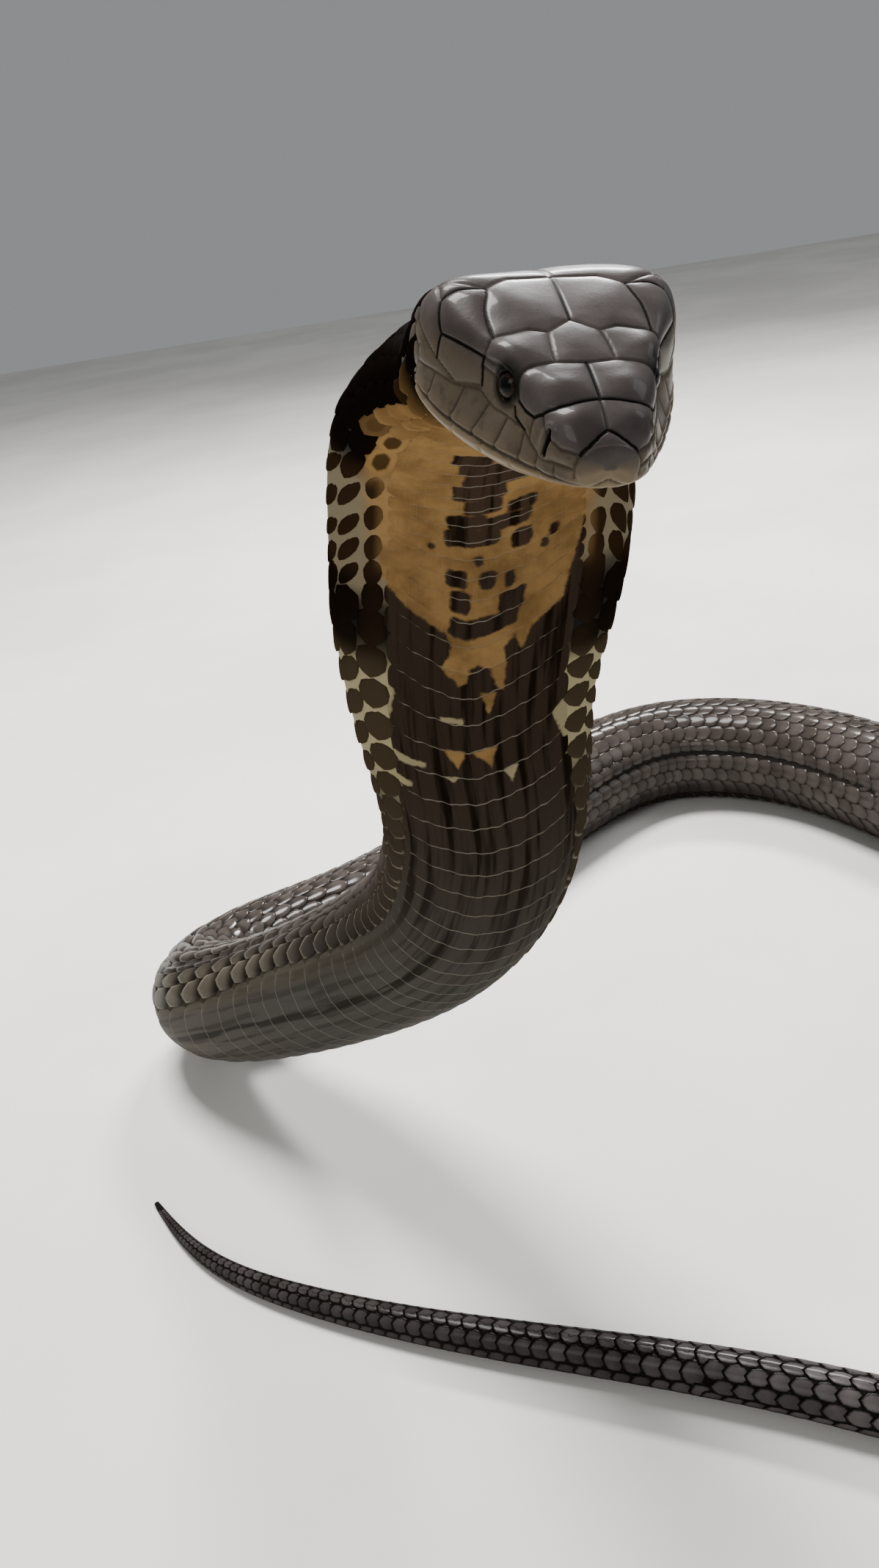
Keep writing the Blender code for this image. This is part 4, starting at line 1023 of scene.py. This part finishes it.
def make_scales(name, first, last, seed):
    """Model the scales between two distances as one piece, off the shields of the head."""
    draw = np.random.default_rng(seed)
    table = scale_places(first, last)
    back = HEAD_LENGTH - (line.neck - table[:, 0]) * 1000.0
    table = table[back > shield_limit(1 - np.abs(table[:, 1])) + SHIELD_GAP]
    each = (len(table), 1)
    distance, share, pitch, width, row = table.T[:, :, None]
    # How far the scales stand apart on the spread hood, above its dark band and below it
    low = np.where(share < 0, 0.122, 0.112)
    above = step_up(distance, 0.060, 0.076, low + 0.010, low)
    below = step_up(distance, 0.142, 0.154, 0.24, 0.19)
    loose = np.maximum(above, below)
    half = half_girth(line.at(distance)[4])
    first_row = (row < 1) * above
    reach = pitch * (0.70 - 0.19 * above - 0.15 * below) * (1 - 0.14 * first_row) * draw.uniform(*SCALE_SPREAD, each)
    breadth = width * half * (0.55 - 0.22 * above - 0.02 * below) * (1 + 0.08 * first_row)
    breadth = breadth * draw.uniform(*SCALE_SPREAD, each)
    for start, _ in ROWS[3:]:
        breadth = breadth * (1 + 0.20 * bell(distance - start, 0.007))
    slant = np.where(row < 1, 0.12, 0.38) * loose * (row < 5)
    twist = draw.uniform(-0.05, 0.05, each) - np.sign(share) * slant
    taper = loose * np.where(share < 0, 0.05, -0.35)
    spin = np.arange(SCALE_SIDES) / SCALE_SIDES * 2 * math.pi
    cosine, sine = np.abs(np.cos(spin)), np.abs(np.sin(spin))
    hexagon = 0.72 * np.minimum(1 / np.maximum(sine, 1e-6), 1 / (cosine + 0.485 * sine)) + 0.28
    leaf = (cosine ** 1.6 + sine ** 1.6) ** (-1 / 1.6)
    edge = hexagon + (leaf - hexagon) * (above + 0.45 * below)
    radii, levels = np.repeat(SCALE_RINGS, SCALE_SIDES, axis=1)
    u, v = (np.hstack((np.zeros(each), np.tile(part * edge, len(SCALE_RINGS[0])) * radii))
            for part in (np.cos(spin), np.sin(spin)))
    domed = 1 + 0.4 * step_up(distance, 0.36, 0.46, 0.90, 0.70)
    domed = domed - 0.25 * step_up(distance, 0.75, 0.95)
    size = np.minimum(half / 0.1, 1.0) * (1 - 0.55 * above)
    height = SCALE_THICK * domed * np.append(SCALE_MIDDLE, levels) + SCALE_LEAN * (0.35 + 0.9 * u)
    where = distance + reach * u
    arc = share + (breadth * v * (1 + taper * u) - twist * reach * u) / half
    arc = np.where(arc > 1, arc - 2, np.where(arc < -1, arc + 2, arc))
    lift = np.maximum(size * height, -0.0004)
    points = hide(np.clip(where, 0.002, line.end - 0.0005), arc, lift, floor=0.0004)
    count, per = u.shape
    base = np.arange(count)[:, None, None] * per
    here = np.arange(1, SCALE_SIDES + 1)
    after = here % SCALE_SIDES + 1
    fan = np.stack((here * 0, here, after), -1)
    band = np.vstack([np.stack((here, here + SCALE_SIDES, after + SCALE_SIDES, after), -1) + ring * SCALE_SIDES
                      for ring in range(len(SCALE_RINGS[0]) - 1)])
    faces = (base + fan).reshape(-1, 3).tolist() + (base + band).reshape(-1, 4).tolist()
    spot = np.stack(((distance - first) / (last - first) + 0.0015 * u, (share + 1) / 2 + 0.0015 * v), -1)
    fields = {"tone": np.repeat(draw.uniform(-1, 1, count), per), "tip": u.ravel(),
              "rim": np.tile(np.append(0.0, np.minimum(radii, 1.0)), count), "along": where.ravel(),
              "around": arc.ravel(), "ochre": np.repeat(markings(distance, share)[0], per)}
    return lay_mesh(name, points.reshape(-1, 3), faces, fields, 0.01 + 0.98 * spot.reshape(-1, 2))


SCALE_BROWN = (0.015, 0.007, 0.002)
SCALE_UMBER = (0.036, 0.026, 0.014)
SCALE_GREY = (0.060, 0.050, 0.045)
SCALE_DEEP = (0.011, 0.008, 0.006)
SCALE_OLIVE = (0.028, 0.023, 0.016)
# near black, for the hood band, the tail's tip and borders, and as painted shade at the scale roots and under the
# lying body
SCALE_BLACK_AND_SHADE = (0.003, 0.002, 0.0015)
SCALE_WARM = (0.080, 0.070, 0.054)
SCALE_EDGE = (0.145, 0.132, 0.096)
TAIL_GREY = (0.144, 0.127, 0.127)
BODY_EDGE = 0.25
BODY_GLOSS = 0.22


def scale_finish(name, centre, rim_colour, border, edge, gloss):
    """Paint a length of the back's scales, with its own heart, rim, width and depth of border, and gloss, and painted
    shade at the scale roots and low on the lying body.
    """
    finish = Finish(name, Coat_Roughness=0.15, Specular_IOR_Level=0.0)
    rise, mix, noise, field, place = finish.rise, finish.mix, finish.noise, finish.field, finish.place()
    along, around, tone, rim, tip = (field(part) for part in ("along", "around", "tone", "rim", "tip"))
    around = abs(around)
    fine = noise(place, 900.0)
    patchy = rise(noise(place, 60.0) + tone * 0.14, 0.30, 0.66)
    onset = rise(along, 2.46, 2.64)
    depth = onset * (edge - BODY_EDGE) + BODY_EDGE
    hood_brown = mix(SCALE_BROWN, (rise(along, 0.130, 0.160), SCALE_UMBER))
    dark_band = rise(along, 0.112, 0.124, 0.152, 0.144) * 0.85 + rise(along, 0.074, 0.062)
    olive = rise(along, 0.17, 0.24, 0.62, 0.50) * rise(around, 0.52, 0.42)
    dusky = rise(along, 0.26, 0.34, 0.70, 0.60) * rise(around, 0.62, 0.50)
    # painted shade: each scale's covered front end is darkened towards black, for the shade under the scale in front
    root = rise(tip, 0.15, -0.50) * rise(along, 0.30, 0.45) * (0.6 - rise(along, 0.70, 0.90) * 0.36)
    fading = rise(around, 0.328, 0.295) * rise(along, 0.118, 0.108, 0.060, 0.072)
    throat = rise(field("ochre"), -0.6, 0.6) * rise(along, 0.078, 0.066)
    heart = rise(rim, 0.66, 0.44) * rise(tone, -0.30, 0.10) * rise(along, 0.030, 0.044)
    # painted shade: the lowest scale rows of the lying body are darkened towards black, for the shade under the body
    low_flank_shade = rise(around, 0.415, 0.370) * rise(along, 0.62, 0.72)
    branch = rise(along, 0.19, 0.25, 0.66, 0.56) * rise(around, 0.50, 0.42)
    warm = rise(along, 0.38, 0.48) * branch * rise(tip, -0.55, 0.25)
    pale_tip = rise(rim, 0.80, 0.95) * rise(tip, 0.10, 0.55) * branch
    colour = mix(
        SCALE_DEEP, (patchy * 0.45 + 0.55, mix(SCALE_GREY, (onset, centre))),
        (rise(rim + (fine - 0.5) * 0.15, border, border + 0.24) * depth, rim_colour),
        (rise(along, 0.27, 0.20) * 0.9, hood_brown),
        (dark_band * (rise(around, 0.30, 0.40) * 0.35 + 0.62), SCALE_BLACK_AND_SHADE), (olive * 0.7, SCALE_OLIVE),
        (dusky * 0.6, SCALE_DEEP), (root, SCALE_BLACK_AND_SHADE), (fading * 0.6, OCHRE_DEEP),
        (throat * rise(along, 0.010, 0.022), mix(OCHRE_DEEP, (patchy, OCHRE))), (throat * heart * 0.85, SCALE_BROWN),
        (low_flank_shade * 0.5, SCALE_BLACK_AND_SHADE), (rise(along, 2.66, 3.10) * 0.68, SCALE_BLACK_AND_SHADE), (warm * 0.7, SCALE_WARM),
        (pale_tip * 0.8, SCALE_EDGE))
    nape = rise(along, 0.036, 0.018) * rise(around, 0.55, 0.70) * 1.4
    bright = rise(along, 0.40, 0.50, 0.90, 0.74) * rise(around, 0.42, 0.58) * 0.6
    gloss = onset * (gloss - BODY_GLOSS) + BODY_GLOSS
    coat = (1.0 - rim * 0.25) * gloss * (rise(along, 0.28, 0.52) + nape + bright)
    rough = 0.52 + (fine - 0.5) * 0.18 + rim * 0.06
    return finish.wear(Base_Color=colour, Roughness=rough, Coat_Weight=coat, Normal=finish.bump(fine * 0.5, 0.00015))


body_scale_finish = scale_finish("back_scales", SCALE_GREY, SCALE_DEEP, 0.72, BODY_EDGE, BODY_GLOSS)
tail_scale_finish = scale_finish("tail_scales", TAIL_GREY, SCALE_BLACK_AND_SHADE, 0.66, 1.0, 0.10)
# Name, slot, first and last distance along the body, finish
SCALE_PIECES = (
    ("scales_hood", "hood", 0.002, 0.30, body_scale_finish),
    ("scales_neck", "body", 0.30, 0.66, body_scale_finish),
    ("scales_back", "body", 0.66, 1.60, body_scale_finish),
    ("scales_flank", "body", 1.60, 2.46, body_scale_finish),
    ("scales_tail", "tail", 2.46, 3.3, tail_scale_finish),
)
for seed, (name, slot, first, last, material) in enumerate(SCALE_PIECES):
    piece = make_scales(name, first, last, 70 + seed)
    piece.data.materials.append(material)
    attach(piece, "root")


# The floor and the light.
# A plain pale floor under four soft lamps, above, in front, at the side and behind, in a dim even room. The
# camera stands where the picture was taken from, just above the head and close in front of it.
CAMERA_HEIGHT = 0.42
CAMERA_PITCH = 24.5
CAMERA_ROLL = 9.15
LONG_SIDE_PIXELS = 2136
FOCAL_PIXELS = 1800
SENSOR = 36.0
FLOOR_SIZE = 9.0
FLOOR_COLOUR = (0.80, 0.785, 0.748)
ROOM_COLOUR = (0.80, 0.82, 0.84, 1.0)
ROOM_STRENGTH = 0.34
# Name, place beside what they light, height above the floor, width and depth, power, colour
LAMPS = (
    ("top", -0.3, 0.7, 2.1, (0.8, 0.6), 94.0, (1.0, 0.98, 0.95)),
    ("front", -1.1, -1.5, 1.5, (0.9, 0.8), 14.0, (1.0, 0.97, 0.93)),
    ("side", 1.6, 0.2, 1.4, (0.8, 0.8), 8.0, (0.95, 0.98, 1.0)),
    ("rear_strip", 0.5, 1.7, 1.5, (0.5, 0.25), 62.0, (1.0, 1.0, 1.0)),
)

bpy.ops.mesh.primitive_plane_add(size=FLOOR_SIZE)
floor = bpy.context.active_object
floor.name = "floor"
plain = Finish("floor_plain", Roughness=0.75)
cloud = plain.noise(plain.place(), 2.2, 5.0, 0.6)
darker = tuple(channel * 0.86 for channel in FLOOR_COLOUR)
shade = plain.mix(darker, (plain.rise(cloud, 0.35, 0.65), FLOOR_COLOUR))
floor.data.materials.append(plain.wear(Base_Color=shade))
bpy.ops.object.select_all(action="DESELECT")

lit = Vector((head_tip[0], head_tip[1] + 0.25, 0.15))
for name, across, along, height, size, power, colour in LAMPS:
    data = bpy.data.lights.new(name, "AREA")
    data.shape = "RECTANGLE"
    data.size, data.size_y = size
    data.energy, data.color = power, colour
    lamp = add_object(name, data)
    lamp.location = (lit.x + across, lit.y + along, height)
    lamp.rotation_mode = "QUATERNION"
    lamp.rotation_quaternion = (lit - lamp.location).to_track_quat("-Z", "Y")
world = bpy.data.worlds.new("studio")
world.use_nodes = True
world.node_tree.nodes["Background"].inputs["Color"].default_value = ROOM_COLOUR
world.node_tree.nodes["Background"].inputs["Strength"].default_value = ROOM_STRENGTH
bpy.context.scene.world = world

data = bpy.data.cameras.new("view")
data.sensor_width = SENSOR
data.lens = SENSOR * FOCAL_PIXELS / LONG_SIDE_PIXELS
data.clip_start, data.clip_end = 0.01, 50.0
camera = add_object("view", data)
level = Matrix.Rotation(math.radians(90 - CAMERA_PITCH), 4, "X")
roll = Matrix.Rotation(math.radians(-CAMERA_ROLL), 4, "Z")
camera.matrix_world = Matrix.Translation((plan_shift[0], plan_shift[1], CAMERA_HEIGHT)) @ level @ roll
bpy.context.scene.camera = camera
